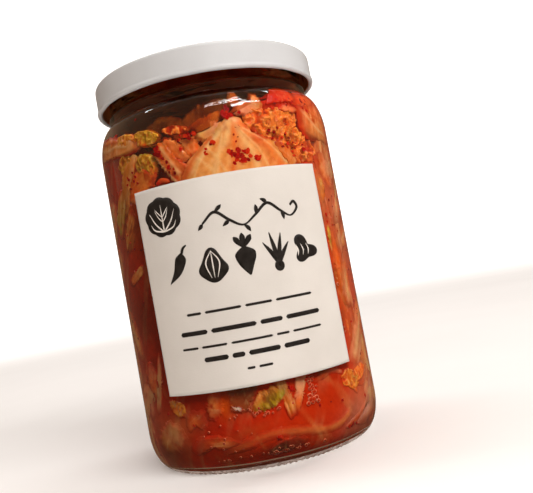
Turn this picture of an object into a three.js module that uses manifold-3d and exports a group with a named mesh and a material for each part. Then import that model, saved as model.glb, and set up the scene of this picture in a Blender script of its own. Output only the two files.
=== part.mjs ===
// A shut glass jar of kimchi: a clear round jar, a white twist-off metal lid, a square paper label
// stuck round the front of the body, and the packed heap of cabbage that fills the jar.
// Millimetres, +Z up. The origin is the middle of the foot, and the label faces -Y.

import * as THREE from "three";
import { mergeVertices } from "three/addons/utils/BufferGeometryUtils.js";
import Module from "manifold-3d";

const wasm = await Module();
wasm.setup();

// Driving dimensions of the glass
const BODY_RADIUS = 44.4;
const WALL = 2.4;
const FOOT_RADIUS = 38.4; // outer edge of the ring that the jar stands on
const FOOT_WIDTH = 3.4;
const PUSH_UP = 2.6; // how far the underside is domed up inside the foot ring
const HEEL_TOP = 13;
const SHOULDER_FOOT = 115.5;
const NECK_BOTTOM = 129.4;
const NECK_RADIUS = 38;
const NECK_WALL = 2.3;
const NECK_BEAD = 1.3; // how far the ring under the lid stands out
const NECK_BEAD_HEIGHT = 132.6;
const RIM_HEIGHT = 143.9;
const FLOOR_THICKNESS = 3.4;
const ROUND_SIDES = 48;

// Driving dimensions of the lid
const LID_RADIUS = 43;
const LID_BOTTOM = 135.1;
const LID_TOP = 145.6;
const LID_SHEET = 0.7;
const LID_CURL = 0.95; // radius of the rolled lower edge
const LID_SHOULDER = 1.7; // radius of the rounded upper edge
const PANEL_RADIUS = 34.5; // edge of the sunk middle panel
const PANEL_DEPTH = 0.7;

// Driving dimensions of the label
const LABEL_WIDTH = 70;
const LABEL_HEIGHT = 71;
const LABEL_BOTTOM = 28.8;
const LABEL_PAPER = 0.25;
const LABEL_GAP = 0.15;
const LABEL_TURN = 2.4; // degrees round the jar from the front
const LABEL_STEPS = 24;

// Driving dimensions of the kimchi
const GLASS_GAP = 0.5; // between the heap and the glass, and between the heap and the floor
const CORE_INSET = 3.4; // how far the packed core lies inside the pieces
const CORE_TOP = 115;
const CORE_SIDES = 24;
const STEM_THICKNESS = 5;
const LEAF_THICKNESS = 1.8;
const CORE_BITE = 2.2; // how deep a leaf is rooted in the core
const FLAKE_SIZE = 3.2;
const FLAKE_COUNT = 12;

const radians = THREE.MathUtils.degToRad;
const profile = (points) => points.map(([r, z]) => new THREE.Vector2(r, z));

// A seeded random number from 0 to 1, so that every build is the same.
function seededRandom(seed) {
  let state = seed;
  return () => {
    state = (state * 1664525 + 1013904223) % 4294967296;
    return state / 4294967296;
  };
}

// Points of a quarter ellipse between two points, leaving the first one upright.
function quarterEllipse([r0, z0], [r1, z1], steps) {
  return Array.from({ length: steps + 1 }, (_, i) => {
    const angle = (i / steps) * (Math.PI / 2);
    return [
      r1 + (r0 - r1) * Math.cos(angle),
      z0 + (z1 - z0) * Math.sin(angle),
    ];
  });
}

// A solid of revolution about Z from a closed outline of [radius, height] points.
function turned(outline, sides) {
  const geometry = new THREE.LatheGeometry(profile(outline), sides);
  geometry.rotateX(Math.PI / 2);
  return geometry;
}

// The jar's inside radius at a height, which the heap follows.
const INNER_RADIUS = BODY_RADIUS - WALL;
const INNER_NECK = NECK_RADIUS - NECK_WALL;
const INNER_HEEL_TOP = HEEL_TOP + 1;
const INNER_FOOT = FOOT_RADIUS - WALL;

function insideRadius(z) {
  const rise = (z - SHOULDER_FOOT) / (NECK_BOTTOM - SHOULDER_FOOT);
  const drop = (INNER_HEEL_TOP - z) / (INNER_HEEL_TOP - FLOOR_THICKNESS);
  if (rise > 0)
    return (
      INNER_NECK +
      (INNER_RADIUS - INNER_NECK) * Math.sqrt(Math.max(0, 1 - rise * rise))
    );
  if (drop > 0)
    return (
      INNER_FOOT +
      (INNER_RADIUS - INNER_FOOT) * Math.sqrt(Math.max(0, 1 - drop * drop))
    );
  return INNER_RADIUS;
}

// The glass: up the outside from the domed underside to the rim, and down the inside to the floor.
function glassGeometry() {
  const rimInset = 0.9;
  const footEdge = 0.5;
  const outside = [
    [0, PUSH_UP],
    [FOOT_RADIUS - FOOT_WIDTH - 2 * footEdge, PUSH_UP * 0.6],
    [FOOT_RADIUS - FOOT_WIDTH, 0],
    [FOOT_RADIUS, 0],
    ...quarterEllipse([BODY_RADIUS, HEEL_TOP], [FOOT_RADIUS, 0], 6)
      .reverse()
      .slice(1),
    ...quarterEllipse(
      [BODY_RADIUS, SHOULDER_FOOT],
      [NECK_RADIUS, NECK_BOTTOM],
      6,
    ),
    [NECK_RADIUS, NECK_BEAD_HEIGHT - NECK_BEAD],
    [NECK_RADIUS + NECK_BEAD, NECK_BEAD_HEIGHT],
    [NECK_RADIUS, NECK_BEAD_HEIGHT + NECK_BEAD],
    [NECK_RADIUS, RIM_HEIGHT - rimInset],
    [NECK_RADIUS - rimInset, RIM_HEIGHT],
  ];
  const inside = [
    [INNER_NECK + rimInset, RIM_HEIGHT],
    [INNER_NECK, RIM_HEIGHT - rimInset],
    ...quarterEllipse(
      [INNER_RADIUS, SHOULDER_FOOT],
      [INNER_NECK, NECK_BOTTOM],
      6,
    ).reverse(),
    ...quarterEllipse(
      [INNER_RADIUS, INNER_HEEL_TOP],
      [INNER_FOOT, FLOOR_THICKNESS],
      5,
    ),
    [0, FLOOR_THICKNESS + PUSH_UP * 0.5],
  ];
  return turned([...outside, ...inside], ROUND_SIDES);
}

// The lid: one pressed sheet with a sunk panel, a rounded edge, a skirt and a rolled lower edge.
function lidGeometry() {
  const skirt = LID_RADIUS - LID_CURL * 0.4;
  const roundEdge = (radius, steps) =>
    quarterEllipse(
      [skirt - LID_SHOULDER + radius, LID_TOP - LID_SHOULDER],
      [skirt - LID_SHOULDER, LID_TOP - LID_SHOULDER + radius],
      steps,
    );
  const curlCentre = [LID_RADIUS - LID_CURL, LID_BOTTOM + LID_CURL];
  const curl = Array.from({ length: 7 }, (_, i) => {
    const angle = radians(180 + i * 36);
    return [
      curlCentre[0] + LID_CURL * Math.cos(angle),
      curlCentre[1] + LID_CURL * Math.sin(angle),
    ];
  });
  const inside = [
    [0, LID_TOP - PANEL_DEPTH - LID_SHEET],
    [PANEL_RADIUS - 0.2, LID_TOP - PANEL_DEPTH - LID_SHEET],
    [PANEL_RADIUS + 0.6, LID_TOP - LID_SHEET],
    ...roundEdge(LID_SHOULDER - LID_SHEET, 3).reverse(),
    [skirt - LID_SHEET, LID_BOTTOM + 2 * LID_CURL],
  ];
  const outside = [
    ...curl,
    ...roundEdge(LID_SHOULDER, 4),
    [PANEL_RADIUS + 1, LID_TOP],
    [PANEL_RADIUS, LID_TOP - PANEL_DEPTH],
    [0, LID_TOP - PANEL_DEPTH],
  ];
  return turned([...inside, ...outside], ROUND_SIDES);
}

// Closes two matching grids of points, an outer and an inner face, into one thin solid.
function sheetGeometry(columns, rows, outerPoint, innerPoint) {
  const positions = [];
  const index = [];
  for (const face of [outerPoint, innerPoint])
    for (let j = 0; j <= rows; j++)
      for (let i = 0; i <= columns; i++)
        positions.push(...face((2 * i) / columns - 1, (2 * j) / rows - 1));
  const layer = (columns + 1) * (rows + 1);
  const at = (i, j, side) => side * layer + j * (columns + 1) + i;
  for (let j = 0; j < rows; j++)
    for (let i = 0; i < columns; i++)
      for (const side of [0, 1]) {
        const [a, b] = [at(i, j, side), at(i + 1, j, side)];
        const [c, d] = [at(i + 1, j + 1, side), at(i, j + 1, side)];
        index.push(...(side ? [a, c, b, a, d, c] : [a, b, c, a, c, d]));
      }
  const rim = [];
  for (let i = 0; i < columns; i++) rim.push([i, 0]);
  for (let j = 0; j < rows; j++) rim.push([columns, j]);
  for (let i = columns; i > 0; i--) rim.push([i, rows]);
  for (let j = rows; j > 0; j--) rim.push([0, j]);
  rim.forEach(([i, j], k) => {
    const [m, n] = rim[(k + 1) % rim.length];
    index.push(at(i, j, 0), at(i, j, 1), at(m, n, 1));
    index.push(at(i, j, 0), at(m, n, 1), at(m, n, 0));
  });
  const geometry = new THREE.BufferGeometry();
  geometry.setAttribute(
    "position",
    new THREE.Float32BufferAttribute(positions, 3),
  );
  geometry.setIndex(index);
  return geometry;
}

// A point of the cylinder round Z: the angle is counted from the front, -Y, towards +X.
const roundPoint = (radius, angle, z) => [
  radius * Math.sin(angle),
  -radius * Math.cos(angle),
  z,
];

// The label: a sheet of paper bent round the body.
function labelGeometry() {
  const radius = BODY_RADIUS + LABEL_GAP;
  const halfAngle = LABEL_WIDTH / 2 / BODY_RADIUS;
  const middle = LABEL_BOTTOM + LABEL_HEIGHT / 2;
  const face = (r) => (u, v) =>
    roundPoint(
      r,
      radians(LABEL_TURN) + u * halfAngle,
      middle + (v * LABEL_HEIGHT) / 2,
    );
  return sheetGeometry(LABEL_STEPS, 1, face(radius + LABEL_PAPER), face(radius));
}

// A piece of cabbage pressed against the glass. angle and height are its middle, lean turns it on the
// wall, and taper is its upper width as a share of its lower one. A leaf is thin and crinkled.
function cabbageGeometry(piece) {
  const { angle, height, width, length, lean = 0, taper = 1, leaf = 0 } = piece;
  const cornerRound = 0.28;
  const edgeDrop = 1.1;
  const [sin, cos] = [Math.sin(radians(lean)), Math.cos(radians(lean))];
  const point = (depth) => (u, v) => {
    const narrow = 1 + ((taper - 1) * (v + 1)) / 2;
    const across = (u * width * narrow * Math.sqrt(1 - cornerRound * v * v)) / 2;
    const along = (v * length * Math.sqrt(1 - cornerRound * u * u)) / 2;
    const z = THREE.MathUtils.clamp(
      height + along * cos + across * sin,
      FLOOR_THICKNESS + 1.6 * GLASS_GAP + PUSH_UP * 0.5,
      NECK_BOTTOM - 1,
    );
    const turn = radians(angle) + (across * cos - along * sin) / INNER_RADIUS;
    const crinkle = leaf * (1 + Math.sin(9 * u + 4 * v + angle)) * 0.5;
    const rounding = (edgeDrop * (u ** 4 + v ** 4)) / 2;
    const radius = insideRadius(z) - GLASS_GAP - crinkle - rounding - depth;
    return roundPoint(radius, turn, z);
  };
  const [columns, rows] = leaf ? [5, 3] : [4, 3];
  const thickness = leaf ? LEAF_THICKNESS + CORE_BITE : STEM_THICKNESS;
  return sheetGeometry(columns, rows, point(0), point(thickness));
}

// A lump of cabbage on top of the heap, lying across it.
function topLumpGeometry({ x, y, z, length, width, thick, turn, tilt }) {
  const geometry = new THREE.SphereGeometry(0.5, 8, 5);
  geometry.scale(length, width, thick);
  geometry.rotateY(radians(tilt));
  geometry.rotateZ(radians(turn));
  geometry.translate(x, y, z);
  return geometry;
}

// The packed core: a turned plug that keeps CORE_INSET inside the pieces all the way up.
function coreGeometry() {
  const bottom = FLOOR_THICKNESS + GLASS_GAP + PUSH_UP * 0.5;
  const levels = [bottom + 1, INNER_HEEL_TOP, 60, CORE_TOP - 12, CORE_TOP - 3];
  const side = levels.map((z) => [insideRadius(z) - GLASS_GAP - CORE_INSET, z]);
  return turned(
    [[0, bottom], [INNER_FOOT - 8, bottom], ...side, [26, CORE_TOP], [0, CORE_TOP]],
    CORE_SIDES,
  );
}

// The pieces that show through the glass above and below the label, as they lie in the jar.
const frontPieces = [
  { angle: 8, height: 104, width: 40, length: 32, taper: 0.28 }, // broad fan of a stem
  { angle: -21, height: 107, width: 9, length: 19, lean: 42 },
  { angle: -17, height: 114, width: 16, length: 6, lean: 8 },
  { angle: -5, height: 113.5, width: 7, length: 15, lean: -38 },
  { angle: -33, height: 116, width: 12, length: 9, leaf: 1.6 },
  { angle: -50, height: 117, width: 17, length: 8, lean: -6 },
  { angle: -45, height: 106, width: 8, length: 20, lean: -32 },
  { angle: 31, height: 114, width: 24, length: 16, leaf: 2.2 },
  { angle: 46, height: 106, width: 14, length: 9, leaf: 1.8 },
  { angle: 48, height: 116, width: 12, length: 12, lean: 20 },
  { angle: 68, height: 118, width: 20, length: 20, lean: 10 },
  { angle: -33, height: 95, width: 12, length: 26, lean: 12 },
  { angle: 7, height: 10.5, width: 44, length: 5, lean: 3 }, // long edge of a stem at the foot
  { angle: 3, height: 25, width: 13, length: 10, leaf: 2 },
  { angle: 15, height: 24, width: 6, length: 17, lean: -14, taper: 1.6 },
  { angle: -19, height: 24.5, width: 5, length: 8 },
  { angle: -47, height: 16, width: 10, length: 10 },
  { angle: -39, height: 24, width: 7, length: 8, leaf: 1.4 },
  { angle: 47, height: 22, width: 14, length: 8, leaf: 1.6 },
];

// The rest of the wall: rings of leaning stems and leaves, each ring turned half a step on the last.
function packedPieces() {
  const random = seededRandom(7);
  const rings = [18, 42, 66, 90, 112];
  const perRing = 6;
  const pieces = [];
  rings.forEach((ring, level) => {
    for (let k = 0; k < perRing; k++) {
      const angle = ((k + 0.5 * (level % 2)) * 360) / perRing;
      const front = angle > 180 ? angle - 360 : angle;
      const piece = {
        angle: front + 12 * (random() - 0.5),
        height: ring + 8 * (random() - 0.5),
        width: 13 + 13 * random(),
        length: 17 + 12 * random(),
        lean: 70 * (random() - 0.5),
        taper: 0.6 + 0.5 * random(),
        leaf: random() < 0.35 ? 1.4 + random() : 0,
      };
      const seenInPhoto = Math.abs(front) < 58 && (ring < 30 || ring > 100);
      if (!seenInPhoto) pieces.push(piece);
    }
  });
  return pieces;
}

// Lumps that make the top of the heap uneven, higher on the right than on the left.
function topLumps() {
  const random = seededRandom(21);
  const count = 8;
  return Array.from({ length: count }, (_, k) => {
    const angle = radians((k * 360) / count);
    const x = 23 * Math.sin(angle);
    return {
      x,
      y: -23 * Math.cos(angle),
      z: 115 + 0.14 * x + 2 * random(),
      length: 26 + 6 * random(),
      width: 15 + 4 * random(),
      thick: 10 + 4 * random(),
      turn: (k * 360) / count + 50 * (random() - 0.5),
      tilt: 16 * (random() - 0.5),
    };
  });
}

// Flakes of chilli, small square chips on the wall, spread by the golden angle over the upper half.
function flakePieces() {
  const goldenAngle = 137.5;
  return Array.from({ length: FLAKE_COUNT }, (_, k) => ({
    angle: ((k * goldenAngle) % 360) - 180,
    height: 62 + ((k * 29) % 52),
    width: FLAKE_SIZE,
    length: FLAKE_SIZE * (0.7 + 0.1 * (k % 4)),
    lean: k * 31,
  }));
}

function flakeGeometry(flake) {
  const point = (depth) => (u, v) => {
    const turn = radians(flake.lean);
    const across = (u * flake.width * Math.cos(turn) - v * flake.length * Math.sin(turn)) / 2;
    const along = (u * flake.width * Math.sin(turn) + v * flake.length * Math.cos(turn)) / 2;
    const z = flake.height + along;
    const radius = insideRadius(z) - GLASS_GAP - depth;
    return roundPoint(radius, radians(flake.angle) + across / INNER_RADIUS, z);
  };
  return sheetGeometry(1, 1, point(0), point(CORE_INSET + 1));
}

// A closed geometry as a solid that can be joined, and back again.
function solidOf(geometry) {
  const bare = new THREE.BufferGeometry();
  bare.setAttribute("position", geometry.getAttribute("position"));
  bare.setIndex(geometry.getIndex());
  const merged = mergeVertices(bare, 1e-4);
  return new wasm.Manifold(
    new wasm.Mesh({
      numProp: 3,
      vertProperties: merged.getAttribute("position").array,
      triVerts: new Uint32Array(merged.getIndex().array),
    }),
  );
}

function geometryOf(solid) {
  const mesh = solid.getMesh();
  const geometry = new THREE.BufferGeometry();
  geometry.setAttribute(
    "position",
    new THREE.Float32BufferAttribute(mesh.vertProperties, 3),
  );
  geometry.setIndex(new THREE.Uint32BufferAttribute(mesh.triVerts, 1));
  geometry.computeVertexNormals();
  return geometry;
}

// The heap: every piece fused to the core. A scrap that stays loose is dropped.
function kimchiGeometry() {
  const pieces = [...frontPieces, ...packedPieces()].map(cabbageGeometry);
  const lumps = topLumps().map(topLumpGeometry);
  const flakes = flakePieces().map(flakeGeometry);
  let heap = solidOf(coreGeometry());
  for (const geometry of [...pieces, ...lumps, ...flakes])
    heap = heap.add(solidOf(geometry));
  const bodies = heap.decompose().sort((a, b) => b.volume() - a.volume());
  return geometryOf(bodies[0]);
}

function part(name, geometry, color, roughness, metalness = 0) {
  geometry.computeVertexNormals();
  const material = new THREE.MeshStandardMaterial({ color, roughness, metalness });
  const mesh = new THREE.Mesh(geometry, material);
  mesh.name = name;
  return mesh;
}

const glass = part("glass_jar", glassGeometry(), 0xe6efe9, 0.05);
glass.material.transparent = true;
glass.material.opacity = 0.3;

const jar = new THREE.Group();
jar.add(glass);
jar.add(part("lid", lidGeometry(), 0xe4e2de, 0.35));
jar.add(part("label", labelGeometry(), 0xe3dcd2, 0.6));
jar.add(part("kimchi", kimchiGeometry(), 0xd2622a, 0.45));

export default jar;
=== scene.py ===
import math

import bpy
import numpy as np
from mathutils import Matrix, Vector


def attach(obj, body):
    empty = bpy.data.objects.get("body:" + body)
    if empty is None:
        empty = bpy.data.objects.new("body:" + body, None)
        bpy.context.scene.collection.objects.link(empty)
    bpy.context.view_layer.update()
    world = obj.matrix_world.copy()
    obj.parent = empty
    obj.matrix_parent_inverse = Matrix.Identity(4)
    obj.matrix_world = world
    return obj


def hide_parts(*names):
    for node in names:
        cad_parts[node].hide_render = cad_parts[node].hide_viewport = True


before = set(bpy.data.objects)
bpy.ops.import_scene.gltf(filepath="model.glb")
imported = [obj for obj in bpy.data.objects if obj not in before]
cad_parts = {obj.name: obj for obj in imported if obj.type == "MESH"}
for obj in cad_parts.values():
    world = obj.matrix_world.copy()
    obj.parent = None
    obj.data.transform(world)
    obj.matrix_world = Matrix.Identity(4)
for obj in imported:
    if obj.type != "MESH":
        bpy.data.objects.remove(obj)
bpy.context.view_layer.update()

# The jar is clear pressed glass with a straight round body, a short rounded shoulder and a neck
# with a ring under the lid. It stands on a knurled ring round a domed underside. The wall is 2.4 mm
# thick, a little uneven as moulded glass is, and the foot is thicker.
MM = 0.001
BODY_RADIUS = 44.4
FOOT_RADIUS = 38.4
FOOT_INNER_RADIUS = 35.0
HEEL_TOP = 13.0
SHOULDER_FOOT = 115.5
NECK_BOTTOM = 129.4
NECK_RADIUS = 38.0
NECK_RING_HEIGHT = 132.6
NECK_RING_PROUD = 1.3
RIM_HEIGHT = 143.9
INNER_RADIUS = 42.0
INNER_NECK = 35.7
INNER_HEEL_TOP = 14.0
INNER_FOOT = 36.0
GLASS_FLOOR = 3.4
UNDERSIDE_DOME = 2.6
GLASS_SIDES = 480
KNURLS = 120
KNURL_DEPTH = 0.4
KNURL_TOP = 2.4
GLASS_COLOUR = (0.955, 0.975, 0.965, 1.0)
GLASS_IOR = 1.5

NOISE_CELLS = 32
NOISE_SEED = 11
noise_table = np.random.default_rng(NOISE_SEED).random((NOISE_CELLS, NOISE_CELLS, NOISE_CELLS))


def ramp(low, high, value):
    """0 below low, 1 above high, and a soft step between."""
    share = np.clip((np.asarray(value, float) - low) / (high - low), 0, 1)
    return share * share * (3 - 2 * share)


def noise(x, y, z=0.0):
    """Smooth random heights from 0 to 1, one lump to a unit."""
    cells = np.stack(np.broadcast_arrays(*(np.asarray(a, float) for a in (x, y, z))))
    low = np.floor(cells).astype(int)
    part = cells - low
    part = part * part * (3 - 2 * part)
    total = 0.0
    for corner in np.ndindex(2, 2, 2):
        weight = 1.0
        for axis in range(3):
            weight = weight * (part[axis] if corner[axis] else 1 - part[axis])
        place = tuple((low[axis] + corner[axis]) % NOISE_CELLS for axis in range(3))
        total = total + weight * noise_table[place]
    return total


def cloud(x, y, z=0.0, octaves=4):
    """Noise with finer and finer lumps on it, from 0 to 1."""
    total, size = 0.0, 0.0
    for octave in range(octaves):
        share = 0.5**octave
        total = total + share * noise(x * 2**octave + 7.3 * octave, y * 2**octave, z * 2**octave)
        size += share
    return total / size


def quarter(start, end, steps):
    """Points of a quarter ellipse that leaves its start upright."""
    angle = np.linspace(0, math.pi / 2, steps + 1)
    radius = end[0] + (start[0] - end[0]) * np.cos(angle)
    height = start[1] + (end[1] - start[1]) * np.sin(angle)
    return [tuple(p) for p in np.stack([radius, height], 1)]


def rounded(corners, radius, steps=4):
    """An outline with its corners rounded off, but not its two ends."""
    points = [corners[0]]
    for before, corner, after in zip(corners, corners[1:], corners[2:]):
        b, c, a = (np.array(p, float) for p in (before, corner, after))
        reach = min(radius, np.linalg.norm(b - c) / 2.1, np.linalg.norm(a - c) / 2.1)
        start = c + (b - c) / np.linalg.norm(b - c) * reach
        stop = c + (a - c) / np.linalg.norm(a - c) * reach
        for t in np.linspace(0, 1, steps + 1):
            points.append(tuple((1 - t) ** 2 * start + 2 * t * (1 - t) * c + t * t * stop))
    points.append(corners[-1])
    return points


def subdivided(points, longest):
    """The same outline with no step longer than that."""
    result = [points[0]]
    for first, second in zip(points, points[1:]):
        first, second = np.array(first, float), np.array(second, float)
        count = max(1, math.ceil(np.linalg.norm(second - first) / longest))
        for step in range(1, count + 1):
            result.append(tuple(first + (second - first) * step / count))
    return result


def build_mesh(name, points, faces, materials, face_slots=None, tint=None, smooth=True):
    """A mesh from points in millimetres, with its colours and finishes."""
    mesh = bpy.data.meshes.new(name)
    mesh.from_pydata((np.asarray(points) * MM).tolist(), [], [list(f) for f in faces])
    mesh.update()
    for finish in materials:
        mesh.materials.append(finish.material)
    if face_slots is not None:
        mesh.polygons.foreach_set("material_index", np.asarray(face_slots, np.int32))
    mesh.polygons.foreach_set("use_smooth", np.full(len(mesh.polygons), smooth))
    if tint is not None:
        layer = mesh.color_attributes.new("tint", "FLOAT_COLOR", "POINT")
        rgba = np.concatenate([np.asarray(tint), np.ones((len(points), 1))], 1)
        layer.data.foreach_set("color", rgba.astype(np.float32).ravel())
    piece = bpy.data.objects.new(name, mesh)
    bpy.context.scene.collection.objects.link(piece)
    return piece


def ring_quads(rings, sides):
    """Quads between neighbouring rings of a surface that closes on itself round its sides."""
    index = np.arange(rings * sides).reshape(rings, sides)
    beside = np.roll(index, -1, 1)
    return np.stack([index[:-1], beside[:-1], beside[1:], index[1:]], -1).reshape(-1, 4)


def swept(outline, sides):
    """An open surface turned about Z from an outline of radius and height: its points and its quads."""
    ring = np.array(outline, float)
    angle = np.arange(sides) * 2 * math.pi / sides
    x, y = ring[:, :1] * np.sin(angle), -ring[:, :1] * np.cos(angle)
    points = np.stack([x, y, np.repeat(ring[:, 1:], sides, 1)], -1).reshape(-1, 3)
    return points, ring_quads(len(ring), sides)


def turned(outline, sides):
    """A closed body turned about Z from an outline that starts and ends on the axis.
    Gives the points, the faces, and each face's step along the outline."""
    points, quads = swept(outline[1:-1], sides)
    faces = quads.tolist()
    steps = np.repeat(np.arange(len(outline) - 3), sides).tolist()
    first, last = len(points), len(points) + 1
    for side in range(sides):
        beside = (side + 1) % sides
        faces.append([first, beside, side])
        faces.append([last, first - sides + side, first - sides + beside])
        steps += [0, len(outline) - 4]
    points = np.concatenate([points, [[0, 0, outline[0][1]], [0, 0, outline[-1][1]]]])
    return points, faces, steps


class Finish:
    """A new material, with patterns fixed to the piece for its colour, gloss and relief."""

    def __init__(self, name):
        self.material = bpy.data.materials.new(name)
        self.material.use_nodes = True
        self.nodes = self.material.node_tree.nodes
        self.links = self.material.node_tree.links
        self.shader = self.nodes["Principled BSDF"]

    def set(self, socket, value):
        """One value all over the surface."""
        self.shader.inputs[socket].default_value = value

    def feed(self, source, socket):
        """A value of the shader that comes from a pattern."""
        self.links.new(source, self.shader.inputs[socket])

    def grain(self, scale, detail=3.0, stretch=(1, 1, 1)):
        """A noise pattern with scale lumps to the metre."""
        place = self.nodes.new("ShaderNodeTexCoord")
        mapping = self.nodes.new("ShaderNodeMapping")
        mapping.inputs["Scale"].default_value = stretch
        pattern = self.nodes.new("ShaderNodeTexNoise")
        pattern.inputs["Scale"].default_value = scale
        pattern.inputs["Detail"].default_value = detail
        self.links.new(place.outputs["Object"], mapping.inputs["Vector"])
        self.links.new(mapping.outputs["Vector"], pattern.inputs["Vector"])
        return pattern.outputs["Fac"]

    def tint(self):
        """The colours painted on the mesh."""
        colours = self.nodes.new("ShaderNodeVertexColor")
        colours.layer_name = "tint"
        return colours.outputs["Color"]

    def ranged(self, pattern, low, high, start, stop):
        """A pattern's values from start to stop, spread between two numbers."""
        spread = self.nodes.new("ShaderNodeMapRange")
        for socket, value in (("From Min", start), ("From Max", stop), ("To Min", low), ("To Max", high)):
            spread.inputs[socket].default_value = value
        self.links.new(pattern, spread.inputs["Value"])
        return spread.outputs["Result"]

    def mixed(self, pattern, first, second, start, stop):
        """Two colours mixed by a pattern."""
        mix = self.nodes.new("ShaderNodeMix")
        mix.data_type = "RGBA"
        mix.inputs[6].default_value = (*first, 1)
        mix.inputs[7].default_value = (*second, 1)
        self.links.new(self.ranged(pattern, 0, 1, start, stop), mix.inputs[0])
        return mix.outputs[2]

    def two_tone(self, pattern, first, second, start=0.35, stop=0.65):
        """A surface in two colours mixed by a pattern."""
        self.feed(self.mixed(pattern, first, second, start, stop), "Base Color")

    def rough(self, pattern, low, high, start=0.3, stop=0.7):
        """Gloss that goes with a pattern from a low to a high roughness."""
        self.feed(self.ranged(pattern, low, high, start, stop), "Roughness")

    def bump(self, pattern, height, strength):
        """Small relief, height metres deep."""
        relief = self.nodes.new("ShaderNodeBump")
        relief.inputs["Distance"].default_value = height
        relief.inputs["Strength"].default_value = strength
        self.links.new(pattern, relief.inputs["Height"])
        self.feed(relief.outputs["Normal"], "Normal")


def paint(red, green, blue):
    """A colour as it looks on screen, 0 to 255, as linear light."""
    value = np.array([red, green, blue], float) / 255
    return np.where(value <= 0.04045, value / 12.92, ((value + 0.055) / 1.055) ** 2.4)


clear_glass = Finish("clear_glass")
clear_glass.set("Base Color", GLASS_COLOUR)
clear_glass.set("Transmission Weight", 1.0)
clear_glass.set("IOR", GLASS_IOR)
hand_marks = clear_glass.grain(90, 5)
clear_glass.rough(hand_marks, 0.0, 0.045, 0.45, 0.75)
mould_waves = clear_glass.grain(70, 2.5, (0.6, 0.6, 1.8))
clear_glass.bump(mould_waves, 0.0009, 0.4)

# The foot glass is painted pale and only partly clear: painted light that brightens the thick foot, which
# lies in shadow under the jar, with a fine mottle in its colour and gloss.
foot_glass = Finish("foot_glass")
foot_mottle = foot_glass.grain(260, 4)
foot_glass.two_tone(foot_mottle, paint(186, 170, 160), paint(230, 220, 212))
foot_glass.set("Transmission Weight", 0.45)
foot_glass.set("IOR", GLASS_IOR)
foot_glass.rough(foot_mottle, 0.12, 0.4)

glass_outside = [
    (0, UNDERSIDE_DOME),
    (20, UNDERSIDE_DOME * 0.95),
    (FOOT_INNER_RADIUS - 1.4, UNDERSIDE_DOME * 0.55),
    (FOOT_INNER_RADIUS, 0.25),
    (FOOT_INNER_RADIUS + 1.0, 0.0),
    (FOOT_RADIUS - 0.6, 0.0),
    (FOOT_RADIUS, 0.12),
]
heel = quarter((BODY_RADIUS, HEEL_TOP), (FOOT_RADIUS, 0.12), 22)[::-1]
shoulder = quarter((BODY_RADIUS, SHOULDER_FOOT), (NECK_RADIUS, NECK_BOTTOM), 26)
neck = rounded(
    [
        (NECK_RADIUS, NECK_BOTTOM),
        (NECK_RADIUS, NECK_RING_HEIGHT - NECK_RING_PROUD),
        (NECK_RADIUS + NECK_RING_PROUD, NECK_RING_HEIGHT),
        (NECK_RADIUS, NECK_RING_HEIGHT + NECK_RING_PROUD),
        (NECK_RADIUS, RIM_HEIGHT),
        (INNER_NECK, RIM_HEIGHT),
        (INNER_NECK, NECK_BOTTOM),
    ],
    0.9,
    5,
)
inner_shoulder = quarter((INNER_RADIUS, SHOULDER_FOOT), (INNER_NECK, NECK_BOTTOM), 22)[::-1]
inner_heel = quarter((INNER_RADIUS, INNER_HEEL_TOP), (INNER_FOOT, GLASS_FLOOR), 14)
glass_outline = (
    glass_outside
    + heel[1:]
    + subdivided([heel[-1], shoulder[0]], 4)[1:]
    + shoulder[1:]
    + neck[1:]
    + inner_shoulder[1:]
    + subdivided([inner_shoulder[-1], inner_heel[0]], 8)[1:]
    + inner_heel[1:]
    + [(20, GLASS_FLOOR + 1.0), (0, GLASS_FLOOR + 1.3)]
)
glass_points, glass_faces, _ = turned(glass_outline, GLASS_SIDES)
glass_angle = np.arctan2(glass_points[:, 0], -glass_points[:, 1])
glass_radius = np.hypot(glass_points[:, 0], glass_points[:, 1])
on_foot_ring = ramp(FOOT_INNER_RADIUS + 0.4, FOOT_INNER_RADIUS + 1.0, glass_radius)
on_foot_ring = on_foot_ring * (1 - ramp(0.15, 1.3, glass_points[:, 2]))
knurl = 0.5 - 0.5 * np.cos(KNURLS * glass_angle)
glass_points[:, 2] += KNURL_DEPTH * knurl * on_foot_ring
face_heights = np.array([glass_points[face, 2].max() for face in glass_faces])
face_radii = np.array([glass_radius[face].min() for face in glass_faces])
is_knurl = (face_heights < KNURL_TOP) & (face_radii > FOOT_INNER_RADIUS)
glass_jar = build_mesh(
    "glass_jar_body", glass_points, glass_faces, [clear_glass, foot_glass], is_knurl.astype(int)
)
glass_jar.visible_shadow = False
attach(glass_jar, "root")
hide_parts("glass_jar")


# The lid is one pressed tinplate sheet: a sunk middle panel, a rounded edge and a straight skirt
# rolled in at the bottom. White satin lacquer covers the outside, and the inside has the tan food
# lacquer that such lids have, spotted with brine.
LID_RADIUS = 43.0
LID_BOTTOM = 135.1
LID_TOP = 145.6
LID_SHEET = 0.7
LID_CURL = 0.95
LID_EDGE = 1.9
PANEL_RADIUS = 34.5
PANEL_DEPTH = 0.7
LID_SIDES = 256
LID_LUGS = 6
LUG_SQUEEZE = 0.007

white_lacquer = Finish("white_lacquer")
cloudy = white_lacquer.grain(60, 6)
white_lacquer.two_tone(cloudy, paint(194, 196, 198), paint(199, 201, 203))
white_lacquer.rough(cloudy, 0.30, 0.42)
orange_peel = white_lacquer.grain(900, 2)
white_lacquer.bump(orange_peel, 0.00004, 0.5)
white_lacquer.set("Coat Weight", 0.25)
white_lacquer.set("Coat Roughness", 0.2)

tan_lacquer = Finish("tan_lacquer")
spots = tan_lacquer.grain(130, 6)
tan_lacquer.two_tone(spots, paint(206, 120, 52), paint(236, 164, 92), 0.4, 0.6)
tan_lacquer.rough(spots, 0.25, 0.5)
tan_lacquer.bump(spots, 0.0001, 0.4)

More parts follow.
